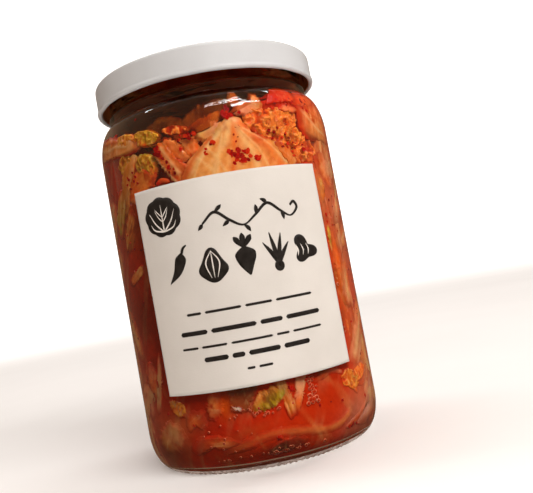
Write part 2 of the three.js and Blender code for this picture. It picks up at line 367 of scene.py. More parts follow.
lid_skirt = LID_RADIUS - LID_CURL * 0.4
lid_inside = [(0, LID_TOP - PANEL_DEPTH - LID_SHEET)] + rounded(
    [
        (10, LID_TOP - PANEL_DEPTH - LID_SHEET),
        (PANEL_RADIUS - 0.2, LID_TOP - PANEL_DEPTH - LID_SHEET),
        (PANEL_RADIUS + 0.6, LID_TOP - LID_SHEET),
        (lid_skirt - LID_SHEET, LID_TOP - LID_SHEET),
        (lid_skirt - LID_SHEET, LID_BOTTOM + 2 * LID_CURL),
    ],
    0.8,
)
curl_angle = np.radians(np.linspace(180, 412, 18))
lid_curl = [
    (LID_RADIUS - LID_CURL + LID_CURL * math.cos(a), LID_BOTTOM + LID_CURL + LID_CURL * math.sin(a))
    for a in curl_angle
]
lid_outside = rounded(
    [
        (lid_skirt, LID_BOTTOM + 2.3 * LID_CURL),
        (lid_skirt, LID_TOP),
        (PANEL_RADIUS + 1.2, LID_TOP),
        (PANEL_RADIUS + 0.1, LID_TOP - PANEL_DEPTH),
        (10, LID_TOP - PANEL_DEPTH),
    ],
    LID_EDGE,
    8,
) + [(0, LID_TOP - PANEL_DEPTH)]
lid_outline = lid_inside + lid_curl + lid_outside
lid_points, lid_faces, lid_steps = turned(lid_outline, LID_SIDES)
lid_angle = np.arctan2(lid_points[:, 0], -lid_points[:, 1])
lid_radius = np.hypot(lid_points[:, 0], lid_points[:, 1])
near_curl = 1 - ramp(LID_BOTTOM + 1.2, LID_BOTTOM + 3.6, lid_points[:, 2])
lug = np.clip(np.cos(LID_LUGS * lid_angle + 0.6), 0, 1) ** 6
squeeze = 1 - LUG_SQUEEZE * lug * near_curl * ramp(38, 40, lid_radius)
lid_points[:, :2] *= squeeze[:, None]
inside_steps = len(lid_inside) + 1
lid_slots = [1 if step < inside_steps else 0 for step in lid_steps]
lid = build_mesh("twist_off_lid", lid_points, lid_faces, [white_lacquer, tan_lacquer], lid_slots)
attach(lid, "root")
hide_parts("lid")


# The label is a nearly square sheet of uncoated white paper, glued round the front of the body with
# its middle a little to the right. Its cut edges are crisp and its face is faintly fibrous.
LABEL_WIDTH = 70.0
LABEL_HEIGHT = 71.0
LABEL_BOTTOM = 28.8
LABEL_TURN = 2.4
LABEL_INNER_RADIUS = 44.55
LABEL_FACE_RADIUS = 44.8
LABEL_MIDDLE = LABEL_BOTTOM + LABEL_HEIGHT / 2


def on_label(across, height, lift):
    """A point of the label's face: millimetres across from its middle, height and lift off the paper."""
    angle = math.radians(LABEL_TURN) + np.asarray(across, float) / BODY_RADIUS
    radius = LABEL_FACE_RADIUS + lift
    height = np.asarray(height, float) + 0 * angle
    return np.stack([radius * np.sin(angle), -radius * np.cos(angle), height], -1)


def rim(first, second):
    """Quads that join two loops of points, given by the points' numbers."""
    return np.stack([first, second, np.roll(second, -1), np.roll(first, -1)], -1)


def sheet_grid(rows, columns):
    """The quads of a grid of points, and the numbers of the points round its border."""
    index = np.arange(rows * columns).reshape(rows, columns)
    front = np.stack([index[:-1, :-1], index[:-1, 1:], index[1:, 1:], index[1:, :-1]], -1)
    edge = np.concatenate([index[0], index[1:, -1], index[-1, -2::-1], index[-2:0:-1, 0]])
    return front.reshape(-1, 4), edge


def closed_sheet(outer, inner):
    """Two matching grids of points, a face and a back, closed round the edge."""
    rows, columns = outer.shape[:2]
    layer = rows * columns
    front, edge = sheet_grid(rows, columns)
    points = np.concatenate([outer.reshape(-1, 3), inner.reshape(-1, 3)])
    return points, np.concatenate([front, front[:, ::-1] + layer, rim(edge, edge + layer)])


label_paper = Finish("label_paper")
fibres = label_paper.grain(1400, 6, (1, 1, 1.6))
mottle = label_paper.grain(45, 5)
label_paper.two_tone(mottle, paint(205, 200, 193), paint(213, 208, 201))
label_paper.rough(fibres, 0.5, 0.68)
label_paper.bump(fibres, 0.00006, 0.6)

label_u, label_v = np.meshgrid(np.linspace(-0.5, 0.5, 121), np.linspace(-0.5, 0.5, 61))
label_across = label_u * LABEL_WIDTH
label_height = LABEL_MIDDLE + label_v * LABEL_HEIGHT
ripple = 0.05 * cloud(label_across / 9, label_height / 14, 3.0)
label_face = on_label(label_across, label_height, ripple - 0.03)
label_back = on_label(label_across, label_height, LABEL_INNER_RADIUS - LABEL_FACE_RADIUS)
label = build_mesh("paper_label", *closed_sheet(label_face, label_back), [label_paper])
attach(label, "root")
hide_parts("label")


# The label's print is black ink: a row of vegetable pictures, a flowing flourish, bars in place of
# small print, and a round cabbage at the upper left. Its pale veins are left as bare paper.
INK_LIFT = 0.07
PALE_LIFT = 0.1
INK_DEPTH = 0.1
BLOT_TURN = np.linspace(0, 2 * math.pi, 72, endpoint=False)
WORD_GAP = 1.3


class Sheets:
    """Closed sheets collected into one mesh."""

    def __init__(self):
        self.points, self.faces, self.tints, self.count = [], [], [], 0

    def add(self, points, quads, tint=None, ends=()):
        """Adds points with the quads between them, and the faces of more corners that end a piece."""
        self.points.append(points)
        for faces in (quads, *([end] for end in ends)):
            self.faces += (np.asarray(faces) + self.count).tolist()
        self.count += len(points)
        if tint is not None:
            self.tints.append(tint)

    def build(self, name, materials, smooth=True):
        tint = np.concatenate(self.tints) if self.tints else None
        points = np.concatenate(self.points)
        return build_mesh(name, points, self.faces, materials, None, tint, smooth)


def stroke(sheets, path, widths, lift=INK_LIFT):
    """A pen stroke on the label along a path of (across, height), as wide as widths say."""
    path = np.asarray(path, float)
    along = np.gradient(path, axis=0)
    along /= np.linalg.norm(along, axis=1)[:, None]
    side = np.stack([-along[:, 1], along[:, 0]], 1)
    widths = np.broadcast_to(np.asarray(widths, float), len(path))
    lanes = np.linspace(0.5, -0.5, 5)
    flat = path[None] + side[None] * widths[None, :, None] * lanes[:, None, None]
    flat = flat[::-1]
    outer = on_label(flat[..., 0], flat[..., 1], lift)
    inner = on_label(flat[..., 0], flat[..., 1], -INK_DEPTH)
    sheets.add(*closed_sheet(outer, inner))


def bar(sheets, middle, height, length, thick):
    """A bar with round ends, in place of a word."""
    t = np.linspace(-1, 1, 25)
    half = length / 2
    from_end = np.clip((half - np.abs(t) * half) / (thick / 2), 0, 1)
    width = thick * np.sqrt(np.clip(1 - (1 - from_end) ** 2, 0.02, 1))
    stroke(sheets, np.stack([middle + t * half, height + 0 * t], 1), width)


def blot(sheets, middle, radius, wide=1.0, high=1.0, rings=5):
    """A filled shape on the label, from its radius all the way round."""
    outline = np.stack([wide * radius * np.cos(BLOT_TURN), high * radius * np.sin(BLOT_TURN)], 1)
    flat = np.asarray(middle) + np.linspace(0.02, 1, rings + 1)[:, None, None] * outline
    hub = np.arange(len(outline))
    border = hub + rings * len(outline)
    layer = (rings + 1) * len(outline)
    front = np.roll(ring_quads(rings + 1, len(outline))[:, ::-1], 1, 1)
    faces = [front, front[:, ::-1] + layer, rim(border, border + layer), rim(hub + layer, hub)]
    points = [on_label(flat[..., 0], flat[..., 1], lift).reshape(-1, 3) for lift in (INK_LIFT, -INK_DEPTH)]
    sheets.add(np.concatenate(points), np.concatenate(faces))


def spline(before, start, stop, after, share):
    """A smooth path from start to stop, with the point before it and the one after it."""
    bend = (2 * before - 5 * start + 4 * stop - after) * share**2
    bend = bend + (3 * start - before - 3 * stop + after) * share**3
    return 0.5 * (2 * start + (stop - before) * share + bend)


def curve(points, steps):
    """A smooth path through a few points."""
    points = np.asarray(points, float)
    padded = np.concatenate([[2 * points[0] - points[1]], points, [2 * points[-1] - points[-2]]])
    share = np.linspace(0, 1, max(4, steps // (len(points) - 1)), endpoint=False)[:, None]
    path = [spline(*four, share) for four in zip(padded, padded[1:], padded[2:], padded[3:])]
    return np.concatenate([*path, points[-1:]])


def pen(sheets, points, steps, widest, peak=0.5, least=0.12, lift=INK_LIFT):
    """A stroke through a few points that swells at its peak and thins to both ends."""
    path = curve(points, steps)
    share = np.linspace(0, 1, len(path))
    rise = np.where(share < peak, share / peak, (1 - share) / (1 - peak))
    stroke(sheets, path, widest * (least + (1 - least) * np.sin(rise * math.pi / 2)), lift)


def ray(root, lean, reach):
    """The point at some distance from a root, in a direction that leans from upright."""
    return np.array(root) + reach * np.array([math.sin(lean), math.cos(lean)])


black_ink = Finish("black_ink")
ink_spread = black_ink.grain(700, 4)
black_ink.two_tone(ink_spread, paint(22, 19, 17), paint(38, 34, 31))
black_ink.rough(ink_spread, 0.42, 0.6)

bare_paper = Finish("bare_paper")
vein_mottle = bare_paper.grain(500, 4)
bare_paper.two_tone(vein_mottle, paint(216, 209, 200), paint(230, 224, 216))
bare_paper.set("Roughness", 0.6)

ink = Sheets()
veins = Sheets()

# The round cabbage at the upper left.
CABBAGE_AT = (-24.4, 89.4)
scallop = 6.6 + 0.45 * np.abs(np.sin(4.5 * BLOT_TURN + 0.4)) + 0.2 * np.cos(BLOT_TURN * 2)
blot(ink, CABBAGE_AT, scallop)
for reach, lean in ((5.3, 0.0), (5.0, 0.62), (5.0, -0.62), (4.4, 1.25), (4.4, -1.25)):
    root = np.array(CABBAGE_AT) + (0, -5.2)
    tip = ray(root, lean, reach * 1.75) - CABBAGE_AT
    tip = CABBAGE_AT + tip * min(1, 5.4 / np.linalg.norm(tip))
    bend = (root + tip) / 2 + (0.9 * lean, -0.4 * abs(lean))
    pen(veins, [root, bend, tip], 24, 0.5, 0.15, lift=PALE_LIFT)
for side in (-1, 1):
    for low, high in ((1.6, 3.8), (3.2, 4.4)):
        rib = np.array([(0, low - 3.4), (side * 1.5, low - 1.6), (side * 2.6, high - 1.4)])
        pen(veins, rib + CABBAGE_AT, 16, 0.34, 0.2, lift=PALE_LIFT)

# The row of vegetables: chilli, garlic, radish, spring onion and ginger.
pen(ink, [(-19.6, 76.2), (-20.4, 73.4), (-22.2, 69.8), (-25.6, 66.4)], 36, 4.0, 0.3, 0.05)
pen(ink, [(-19.5, 75.6), (-18.8, 77.4), (-17.4, 78.4)], 12, 1.0, 0.2, 0.5)
GARLIC_AT = (-9.4, 69.9)
bulb = 4.7 * (1 - 0.24 * np.sin(BLOT_TURN)) + 3.4 * np.clip(np.sin(BLOT_TURN), 0, 1) ** 9
bulb = bulb + 0.25 * np.cos(5 * BLOT_TURN + math.pi / 2)
blot(ink, GARLIC_AT, bulb, high=0.92)
for side in (-1, 0, 1):
    clove = [(GARLIC_AT[0] + wide * side, height) for wide, height in ((0, 75.0), (2.3, 71.0), (1.0, 66.0))]
    pen(veins, clove, 18, 0.42, 0.5, 0.3, PALE_LIFT)
RADISH_TOP = np.array([1.6, 74.0])
pen(ink, [(1.6, 74.6), (1.8, 71.5), (1.9, 68.5), (2.4, 64.8)], 30, 7.0, 0.3, 0.08)
for lean in (-0.62, 0.0, 0.62):
    tip = ray(RADISH_TOP, lean, 5.0)
    pen(ink, [RADISH_TOP, (RADISH_TOP + tip) / 2 + (0.3 * lean, 0.2), tip], 18, 1.9, 0.65, 0.18)
ONION_FOOT = np.array([12.6, 66.2])
for lean, reach in ((-0.5, 9.6), (-0.16, 11.6), (0.2, 11.0), (0.55, 8.8)):
    tip = ray(ONION_FOOT, lean, reach)
    pen(ink, [ONION_FOOT, (ONION_FOOT + tip) / 2 - (0.9 * lean, 0), tip], 24, 1.5, 0.45, 0.15)
blot(ink, ONION_FOOT - (0, 0.3), 1.7 + 0.25 * np.sin(BLOT_TURN), high=1.1, rings=3)
ginger = 3.5 + 1.1 * np.cos(3 * BLOT_TURN + 0.5) + 0.5 * np.cos(2 * BLOT_TURN + 2.2)
blot(ink, (23.2, 70.2), ginger, 1.25, 1.1)
for shift in (-2.2, -0.2, 2.0):
    ring = [(22.0 + shift, 72.2), (22.7 + shift, 70.2), (22.3 + shift, 68.4)]
    pen(veins, ring, 14, 0.36, 0.5, 0.3, PALE_LIFT)

# The flowing flourish above them, with a leaf at each bend.
FLOURISH_SHIFT = np.array([8.5, 2.0])
flourish = curve(
    [(-19, 82.2), (-14.5, 85.4), (-10, 82.0), (-5.5, 79.6), (-1, 82.4), (3.5, 85.6),
     (8, 82.4), (11.5, 80.4), (14.5, 82.8), (13.6, 85.0), (11.9, 83.9)],
    110,
) + FLOURISH_SHIFT
stroke(ink, flourish, 0.55 + 0.45 * np.abs(np.sin(np.linspace(0.3, 9.0, len(flourish)))))
for root, lean, reach in (
    ((-14.5, 85.4), 0.9, 3.4), ((-10, 82.0), -2.2, 3.0), ((-5.5, 79.6), 2.5, 3.2),
    ((-1, 82.4), 0.1, 3.3), ((3.5, 85.6), -0.9, 2.8), ((8, 82.4), 2.9, 3.2), ((-19, 82.2), -2.4, 2.6),
):
    root = np.array(root) + FLOURISH_SHIFT
    tip = ray(root, lean, reach)
    pen(ink, [root, (root + tip) / 2 + (0.25, 0.1), tip], 16, 1.35, 0.5, 0.1)

# Bars in place of the small print: start, height, thickness and the lengths of the words.
for start, height, thick, words in (
    (-21.5, 55.2, 0.85, (5.2, 12.4, 9.0, 13.6)),
    (-25.0, 48.9, 1.5, (9.8, 15.2, 7.6, 13.0)),
    (-25.4, 43.9, 0.75, (6.0, 8.8, 14.0, 4.4, 11.2)),
    (-18.0, 39.7, 1.6, (8.4, 4.2, 10.6, 9.4)),
    (-4.2, 34.8, 0.8, (2.6, 4.6)),
):
    left = start
    for length in words:
        bar(ink, left + length / 2, height, length, thick)
        left += length + WORD_GAP

label_print = ink.build("label_print", [black_ink])
label_veins = veins.build("label_print_veins", [bare_paper])
for print_piece in (label_print, label_veins):
    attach(print_piece, "root")


# The brine and the imported mass of the kimchi: chopped cabbage pressed down in red chilli brine that
# touches the glass up to a slanting level, painted deep red in shade on the left and bright orange-red in
# painted light on the right.
MASS_COLUMNS = 420
MASS_WALL_ROWS = 168
MASS_CAP_ROWS = 33
MASS_FOOT_ROWS = 8
MASS_LEVEL = 119.0
INTO_GLASS = 0.16
HEAP_TURNS = (-180, -150, -110, -80, -60, -45, -30, -12, 0, 10, 25, 40, 60, 80, 110, 150, 180)
HEAP_TOPS = (121, 122, 120, 121, 121, 119, 116, 115, 118, 121, 125, 127, 129, 129, 126, 123, 121)
DEEP_RED = paint(194, 36, 4)
BRINE_RED = paint(206, 42, 4)
BRINE_ORANGE = paint(196, 46, 2)
SAUCE_RED = paint(214, 34, 14)
BROWN_SHADE = paint(92, 28, 6)
PINK_PULP = paint(206, 108, 66)
PEACH_PULP = paint(224, 138, 74)
POCKET_GLINT = paint(255, 206, 168)


def inside_radius(height):
    """The radius of the glass's inner wall at a height."""
    height = np.asarray(height, float)
    rise = np.clip((height - SHOULDER_FOOT) / (NECK_BOTTOM - SHOULDER_FOOT), 0, 1)
    drop = np.clip((INNER_HEEL_TOP - height) / (INNER_HEEL_TOP - GLASS_FLOOR), 0, 1)
    upper = INNER_NECK + (INNER_RADIUS - INNER_NECK) * np.sqrt(1 - rise**2)
    lower = INNER_FOOT + (INNER_RADIUS - INNER_FOOT) * np.sqrt(1 - drop**2)
    return np.where(height > SHOULDER_FOOT, upper, np.where(height < INNER_HEEL_TOP, lower, INNER_RADIUS))


def at_turn(turned_by, radius, height):
    """A point at a turn in degrees from the front, a distance from the jar's axis and a height."""
    angle = np.radians(turned_by)
    return np.stack(np.broadcast_arrays(radius * np.sin(angle), -radius * np.cos(angle), height), -1)


def in_jar(turned_by, height, depth):
    """A point at a turn, a height, and a depth inside the glass wall."""
    return at_turn(turned_by, np.maximum(inside_radius(height) - depth, 0), height)


def wall_cloud(turned_by, height, across, up, seed, octaves=4):
    """Noise on the wall with lumps so many millimetres across and up, with no seam."""
    angle = np.radians(turned_by)
    x = INNER_RADIUS * np.sin(angle) / across
    y = INNER_RADIUS * np.cos(angle) / across
    return cloud(x + seed, y + 2.7 * seed, np.asarray(height) / up, octaves)


def heap_top(turned_by):
    """The height to which the kimchi reaches on the glass."""
    level = np.interp((np.asarray(turned_by) + 180) % 360 - 180, HEAP_TURNS, HEAP_TOPS)
    return level + 3.0 * (wall_cloud(turned_by, 0.0 * level, 9, 9, 5.1) - 0.5)


def spot(turned_by, height, middle_turn, middle_height, wide, high, lean=0.0):
    """1 in the middle of a soft oval patch on the wall, fading to 0. Sizes are in millimetres."""
    across = np.radians(((turned_by - middle_turn + 180) % 360) - 180) * INNER_RADIUS
    up = height - middle_height
    sin, cos = math.sin(math.radians(lean)), math.cos(math.radians(lean))
    a, b = across * cos + up * sin, up * cos - across * sin
    return np.exp(-((a / wide) ** 2) - (b / high) ** 2)


def blend(base, colour, share):
    """A colour laid over another one by a share from 0 to 1."""
    return base + (np.asarray(colour) - base) * np.clip(share, 0, 1)[..., None]


# Soft patches of colour in the brine: painted light where more light comes through, painted shade in the
# hollow at the bottom and in the pocket of gas, and paler pulp where a leaf lies behind:
# turn, height, width, height of the patch, lean, colour and strength.
BRINE_PATCHES = (
    (32, 19, 11, 7, 6, BRINE_ORANGE, 1.0),
    (20, 16, 9, 4, 0, BRINE_ORANGE, 0.75),
    (0, 17, 12, 4, 4, BRINE_RED, 0.8),
    (-15, 24, 4, 4, 0, BRINE_ORANGE, 0.85),
    (-30, 14, 9, 6, 0, DEEP_RED, 0.7),
    (-45, 17, 7, 5, 20, PEACH_PULP, 0.5),
    (-58, 20, 6, 12, 8, PINK_PULP, 0.35),
    (52, 14, 6, 8, -10, PINK_PULP, 0.55),
    (62, 32, 7, 30, 0, PINK_PULP, 0.7),
    (70, 60, 8, 34, 4, paint(214, 112, 70), 0.6),
    (57, 60, 3.4, 15, 0, paint(240, 100, 24), 1.0),
    (68, 86, 3.5, 9, 0, paint(150, 40, 24), 0.7),
    (66, 46, 3, 8, 0, paint(160, 44, 30), 0.25),
    (-53, 90, 8, 9, 20, paint(156, 78, 26), 0.8),
    (-54, 56, 9, 12, 0, paint(112, 24, 8), 0.7),
    (64, 84, 8, 16, 8, PINK_PULP, 0.8),
    (53, 92, 3, 7, 0, PEACH_PULP, 0.7),
    (72, 52, 5, 14, -6, SAUCE_RED, 0.5),
    (35, 123, 12, 3.2, -3, SAUCE_RED, 1.0),
    (60, 122, 12, 6, 0, BRINE_ORANGE, 0.6),
    (6, 6.6, 10, 2.2, 3, paint(92, 20, 6), 0.9),
    (-16, 7.4, 8, 3, 0, paint(146, 52, 18), 0.6),
    (50, 9, 10, 6, 20, paint(200, 112, 84), 0.7),
    (-52, 8, 10, 6, 0, paint(124, 66, 30), 0.6),
    (-30, 19, 6, 3, 20, paint(160, 66, 34), 0.5),
    (-8, 14, 8, 1.6, 12, paint(182, 70, 26), 0.5),
    (-8, 26.5, 5, 4.5, 0, BROWN_SHADE, 1.0),
    (-16.5, 23.5, 2.4, 3.6, 0, paint(226, 84, 10), 1.0),
)


def brine_colour(turned_by, height):
    """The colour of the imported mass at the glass."""
    turned_by, height = np.broadcast_arrays(np.asarray(turned_by, float), np.asarray(height, float))
    # The side share paints light and shade round the jar: lowest at the left, in painted shade, and highest
    # at the right front, in painted light toward the key light; streaks and lumps add random tone.
    side = np.interp(
        (turned_by + 180) % 360 - 180,
        (-180, -120, -90, -60, -30, 0, 25, 45, 70, 100, 140, 180),
        (0.45, 0.35, 0.14, 0.2, 0.3, 0.45, 0.75, 0.85, 0.8, 0.6, 0.5, 0.45),
    )
    streak = wall_cloud(turned_by + 0.35 * height, height, 7, 26, 1.7)
    lump = wall_cloud(turned_by, height, 11, 12, 9.2)
    glow = side + 1.5 * (streak - 0.5) + 1.1 * (lump - 0.5)
    colour = blend(np.broadcast_to(DEEP_RED, (*glow.shape, 3)), BRINE_RED, ramp(0.05, 0.5, glow))
    colour = blend(colour, BRINE_ORANGE, ramp(0.5, 1.05, glow))
    strand = wall_cloud(turned_by - 0.5 * height, height, 5, 22, 4.4)
    colour = blend(colour, PINK_PULP, 0.75 * ramp(0.58, 0.74, strand))
    shred = wall_cloud(turned_by + 0.8 * height, height, 4, 17, 14.4)
    colour = blend(colour, PEACH_PULP, 0.7 * ramp(0.62, 0.76, shred) * ramp(0.1, 0.5, side))
    dark = wall_cloud(turned_by, height, 8, 10, 21.3)
    colour = blend(colour, BROWN_SHADE, 0.7 * ramp(0.56, 0.74, dark))
    for *patch, tone, strength in BRINE_PATCHES:
        colour = blend(colour, tone, strength * spot(turned_by, height, *patch))
    return colour


def mass_depth(turned_by, height):
    """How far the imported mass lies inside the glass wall: into the glass where brine touches it."""
    turned_by, height = np.broadcast_arrays(np.asarray(turned_by, float), np.asarray(height, float))
    front = np.exp(-(((turned_by + 5) / 46) ** 4))
    above = ramp(97, 103, height + 5 * (wall_cloud(turned_by, height, 8, 8, 3.3) - 0.5))
    hollow = front * above * (5.5 + 3 * wall_cloud(turned_by, height, 6, 6, 8.8))
    hollow = hollow * (1 - spot(turned_by, height, 36, 123, 15, 5))
    hollow = hollow * (1 - ramp(52, 62, np.abs(turned_by)))
    return hollow - INTO_GLASS


DULL_SPECK = (0.93, 0.87, 0.82)
BRIGHT_SPECK = (1.03, 1.03, 1.02)


def wet_finish(name, roughness, grain_scale, bump_height, flesh=0.0, shine=0.3):
    """Wet food in its painted colours, with fine grain and relief and some light soaking in."""
    finish = Finish(name)
    fine = finish.grain(grain_scale, 5)
    shade = finish.nodes.new("ShaderNodeMix")
    shade.data_type = "RGBA"
    shade.blend_type = "MULTIPLY"
    shade.inputs[0].default_value = 1.0
    finish.links.new(finish.tint(), shade.inputs[6])
    finish.links.new(finish.mixed(fine, DULL_SPECK, BRIGHT_SPECK, 0.36, 0.6), shade.inputs[7])
    finish.feed(shade.outputs[2], "Base Color")
    finish.rough(fine, roughness * 0.7, roughness * 1.4)
    finish.bump(fine, bump_height, 0.7)
    finish.set("Specular IOR Level", shine)
    finish.set("Subsurface Weight", flesh)
    finish.set("Subsurface Radius", (1.0, 0.42, 0.2))
    finish.set("Subsurface Scale", 0.0025)
    return finish


chilli_brine = wet_finish("chilli_brine", 0.4, 420, 0.00025, 0.0, 0.05)

mass_turn = np.linspace(-180, 180, MASS_COLUMNS, endpoint=False)
mass_top = heap_top(mass_turn)
wall_turn, wall_part = np.meshgrid(mass_turn, np.linspace(0, 1, MASS_WALL_ROWS))
wall_height = GLASS_FLOOR - 0.05 + wall_part * (mass_top - GLASS_FLOOR)
wall_points = in_jar(wall_turn, wall_height, mass_depth(wall_turn, wall_height))
wall_tint = brine_colour(wall_turn, wall_height)

cap_turn, cap_part = np.meshgrid(mass_turn, np.linspace(0, 1, MASS_CAP_ROWS + 1)[1:])
cap_radius = np.hypot(wall_points[-1, :, 0], wall_points[-1, :, 1]) * (1 - cap_part)
cap_points = at_turn(cap_turn, cap_radius, mass_top)
cap_x, cap_y = cap_points[..., 0], cap_points[..., 1]
cap_points[..., 2] += (MASS_LEVEL + 0.08 * cap_x - mass_top) * ramp(0, 0.5, cap_part)
cap_points[..., 2] += 7.5 * (cloud(cap_x / 9, cap_y / 9, 2.2) - 0.5) * ramp(0, 0.12, cap_part)
cap_tone = cloud(cap_x / 7, cap_y / 7, 6.1)
cap_tint = blend(np.broadcast_to(BRINE_RED, cap_points.shape), PEACH_PULP, ramp(0.5, 0.68, cap_tone))
cap_tint = blend(cap_tint, DEEP_RED, ramp(0.5, 0.3, cap_tone))

foot_turn, foot_part = np.meshgrid(mass_turn, np.linspace(0, 1, MASS_FOOT_ROWS + 2)[1:-1])
foot_points = at_turn(foot_turn, foot_part * INNER_FOOT, GLASS_FLOOR - 0.1 + 1.3 * (1 - foot_part))
foot_tint = blend(brine_colour(foot_turn, 5.0), PINK_PULP, 0.6)

mass_points = np.concatenate([foot_points, wall_points, cap_points])
mass_tint = np.concatenate([foot_tint, wall_tint, cap_tint])
mass_ring = np.arange(MASS_COLUMNS)
mass_faces = ring_quads(len(mass_points), MASS_COLUMNS).tolist()
mass_faces.append(mass_ring[::-1].tolist())
mass_faces.append((mass_ring + (len(mass_points) - 1) * MASS_COLUMNS).tolist())
kimchi_mass = build_mesh(
    "kimchi_brine", mass_points.reshape(-1, 3), mass_faces, [chilli_brine], None, mass_tint.reshape(-1, 3)
)
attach(kimchi_mass, "root")
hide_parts("kimchi")


# The headspace shade film: a thin tinted sheet inside the neck and the shoulder, amber brown and streaky.
# It is painted shade: it stands in for the shade and dark reflections in the space under the lid.
FILM_TOP = 142.0
FILM_COLUMNS = 240
FILM_ROWS = 30
FILM_OFF_GLASS = 0.06
FILM_THICKNESS = 0.12

headspace_shade_tint = Finish("headspace_shade_tint")
film_streaks = headspace_shade_tint.grain(70, 6, (1, 1, 0.35))
headspace_shade_tint.two_tone(film_streaks, paint(186, 112, 54), paint(220, 166, 100), 0.4, 0.66)
headspace_shade_tint.set("Transmission Weight", 1.0)
headspace_shade_tint.set("IOR", 1.33)
headspace_shade_tint.set("Roughness", 0.04)
headspace_shade_tint.bump(film_streaks, 0.0002, 0.3)

film_turn, film_part = np.meshgrid(
    np.linspace(-180, 180, FILM_COLUMNS, endpoint=False), np.linspace(0, 1, FILM_ROWS)
)
film_foot = heap_top(film_turn) - 1.5
film_height = film_foot + film_part * (FILM_TOP - film_foot)
film_points = [
    in_jar(film_turn, film_height, depth).reshape(-1, 3)
    for depth in (FILM_OFF_GLASS, FILM_OFF_GLASS + FILM_THICKNESS)
]
film_layer = FILM_ROWS * FILM_COLUMNS
film_low = np.arange(FILM_COLUMNS)
film_high = film_low + film_layer - FILM_COLUMNS
film_face = ring_quads(FILM_ROWS, FILM_COLUMNS)
film_back = film_face[:, ::-1] + film_layer
film_rims = [rim(film_low, film_low + film_layer), rim(film_high + film_layer, film_high)]
film_faces = np.concatenate([film_face, film_back, *film_rims])
film = build_mesh("headspace_shade_film", np.concatenate(film_points), film_faces, [headspace_shade_tint])
film.visible_shadow = False
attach(film, "root")


# The stems: thick white ribs of the cabbage and soft cut pieces, pressed flat on the glass. They are
# pale and faintly ribbed, stained orange by the brine, and lie over each other at different depths.
CREAM = paint(244, 164, 80)
PALE_RIB = paint(250, 200, 130)
PEACH = paint(240, 138, 66)
PINK_FLESH = paint(238, 140, 98)
AMBER = paint(232, 136, 50)
UMBER = paint(208, 120, 36)
ORANGE_FLESH = paint(244, 108, 32)
ORANGE_STAIN = paint(208, 78, 24)
RED_STAIN = paint(176, 28, 10)
SHADED_OLIVE = paint(72, 56, 14)
BROWN_OLIVE = paint(160, 122, 34)
LEAF_YELLOW = paint(234, 194, 56)
LEAF_OLIVE = paint(174, 142, 20)
SHADED_BEIGE = paint(172, 122, 88)
SHADED_BROWN = paint(124, 82, 56)
LIT_OLIVE = paint(112, 84, 28)
WARM_ORANGE = paint(240, 112, 44)
SAUCE_ORANGE = paint(238, 96, 38)
SAUCE_SCARLET = paint(230, 66, 24)
SAUCE_BRIGHT = paint(236, 70, 28)
PALE_PEACH = paint(232, 158, 104)
GLOW_ORANGE = paint(246, 112, 30)
GLOW_RED = paint(238, 84, 20)
PALE_PINK = paint(232, 160, 132)
HOLLOW_SHADE = paint(86, 20, 6)
HOLLOW_EDGE = paint(120, 34, 12)
STRAND_DULL = paint(196, 84, 32)
STRAND_BRIGHT = paint(232, 136, 66)
POCKET_SHADE = paint(84, 28, 8)
POCKET_EDGE = paint(168, 78, 32)
GLINT_WHITE = paint(255, 240, 226)
RIB_PINK = paint(240, 176, 130)
SOFT_CREAM = paint(240, 184, 120)
STEM_SEED = 7
STEM_INTO_GLASS = 0.78
LOWEST_PIECE = GLASS_FLOOR + 0.4
HIGHEST_PIECE = NECK_BOTTOM - 0.3
MM_A_DEGREE = math.radians(1) * INNER_RADIUS


def on_wall(turned_by, height, across, along, lean):
    """Turn and height of points given across and along a piece that leans on the wall."""
    sin, cos = math.sin(math.radians(lean)), math.cos(math.radians(lean))
    place = turned_by + np.degrees((across * cos - along * sin) / INNER_RADIUS)
    return place, height + along * cos + across * sin


def sunk(colour, turned_by, height, depth):
    """A piece's colour where the brine covers it, with painted shade that darkens it the deeper it lies
    behind the glass.
    """
    proud = mass_depth(turned_by, height) - depth
    colour = blend(brine_colour(turned_by, height), colour, ramp(-0.05, 0.45, proud))
    return blend(colour, BROWN_SHADE, 0.8 * ramp(0.6, 4.5, depth))


def backed(outer, inner, tint):
    """A grid of points and tints, closed behind by the border and the middle point of the inner grid."""
    rows, columns = outer.shape[:2]
    front, edge = sheet_grid(rows, columns)
    behind = np.append(edge, rows // 2 * columns + columns // 2)
    ring = rows * columns + np.arange(len(edge))
    hub = np.full(len(edge) // 2, ring[-1] + 1)
    fan = np.stack([hub, np.roll(ring, -2)[::2], np.roll(ring, -1)[::2], ring[::2]], -1)
    points = np.concatenate([outer.reshape(-1, 3), inner.reshape(-1, 3)[behind]])
    tint = tint.reshape(-1, 3)
    return points, np.concatenate([front, rim(edge, ring), fan]), np.concatenate([tint, tint[behind]])


stems = Sheets()


def lay(turned_by, height, depth, colour, edge, thick, soft):
    """Adds one piece lying on the wall to the stems. edge is 0 in its middle and 1 at its border, and
    soft is the share of it that fades into the brine."""
    height = np.clip(height, LOWEST_PIECE, HIGHEST_PIECE)
    shown = sunk(colour, turned_by, height, depth)
    if soft > 0:
        shown = blend(shown, brine_colour(turned_by, height), ramp(1 - soft, 1.0, edge))
    depth = np.maximum(depth, -STEM_INTO_GLASS)
    outer = in_jar(turned_by, height, depth)
    inner = in_jar(turned_by, height, depth + thick * (1 - 0.7 * edge**3))
    stems.add(*backed(outer, inner, shown))


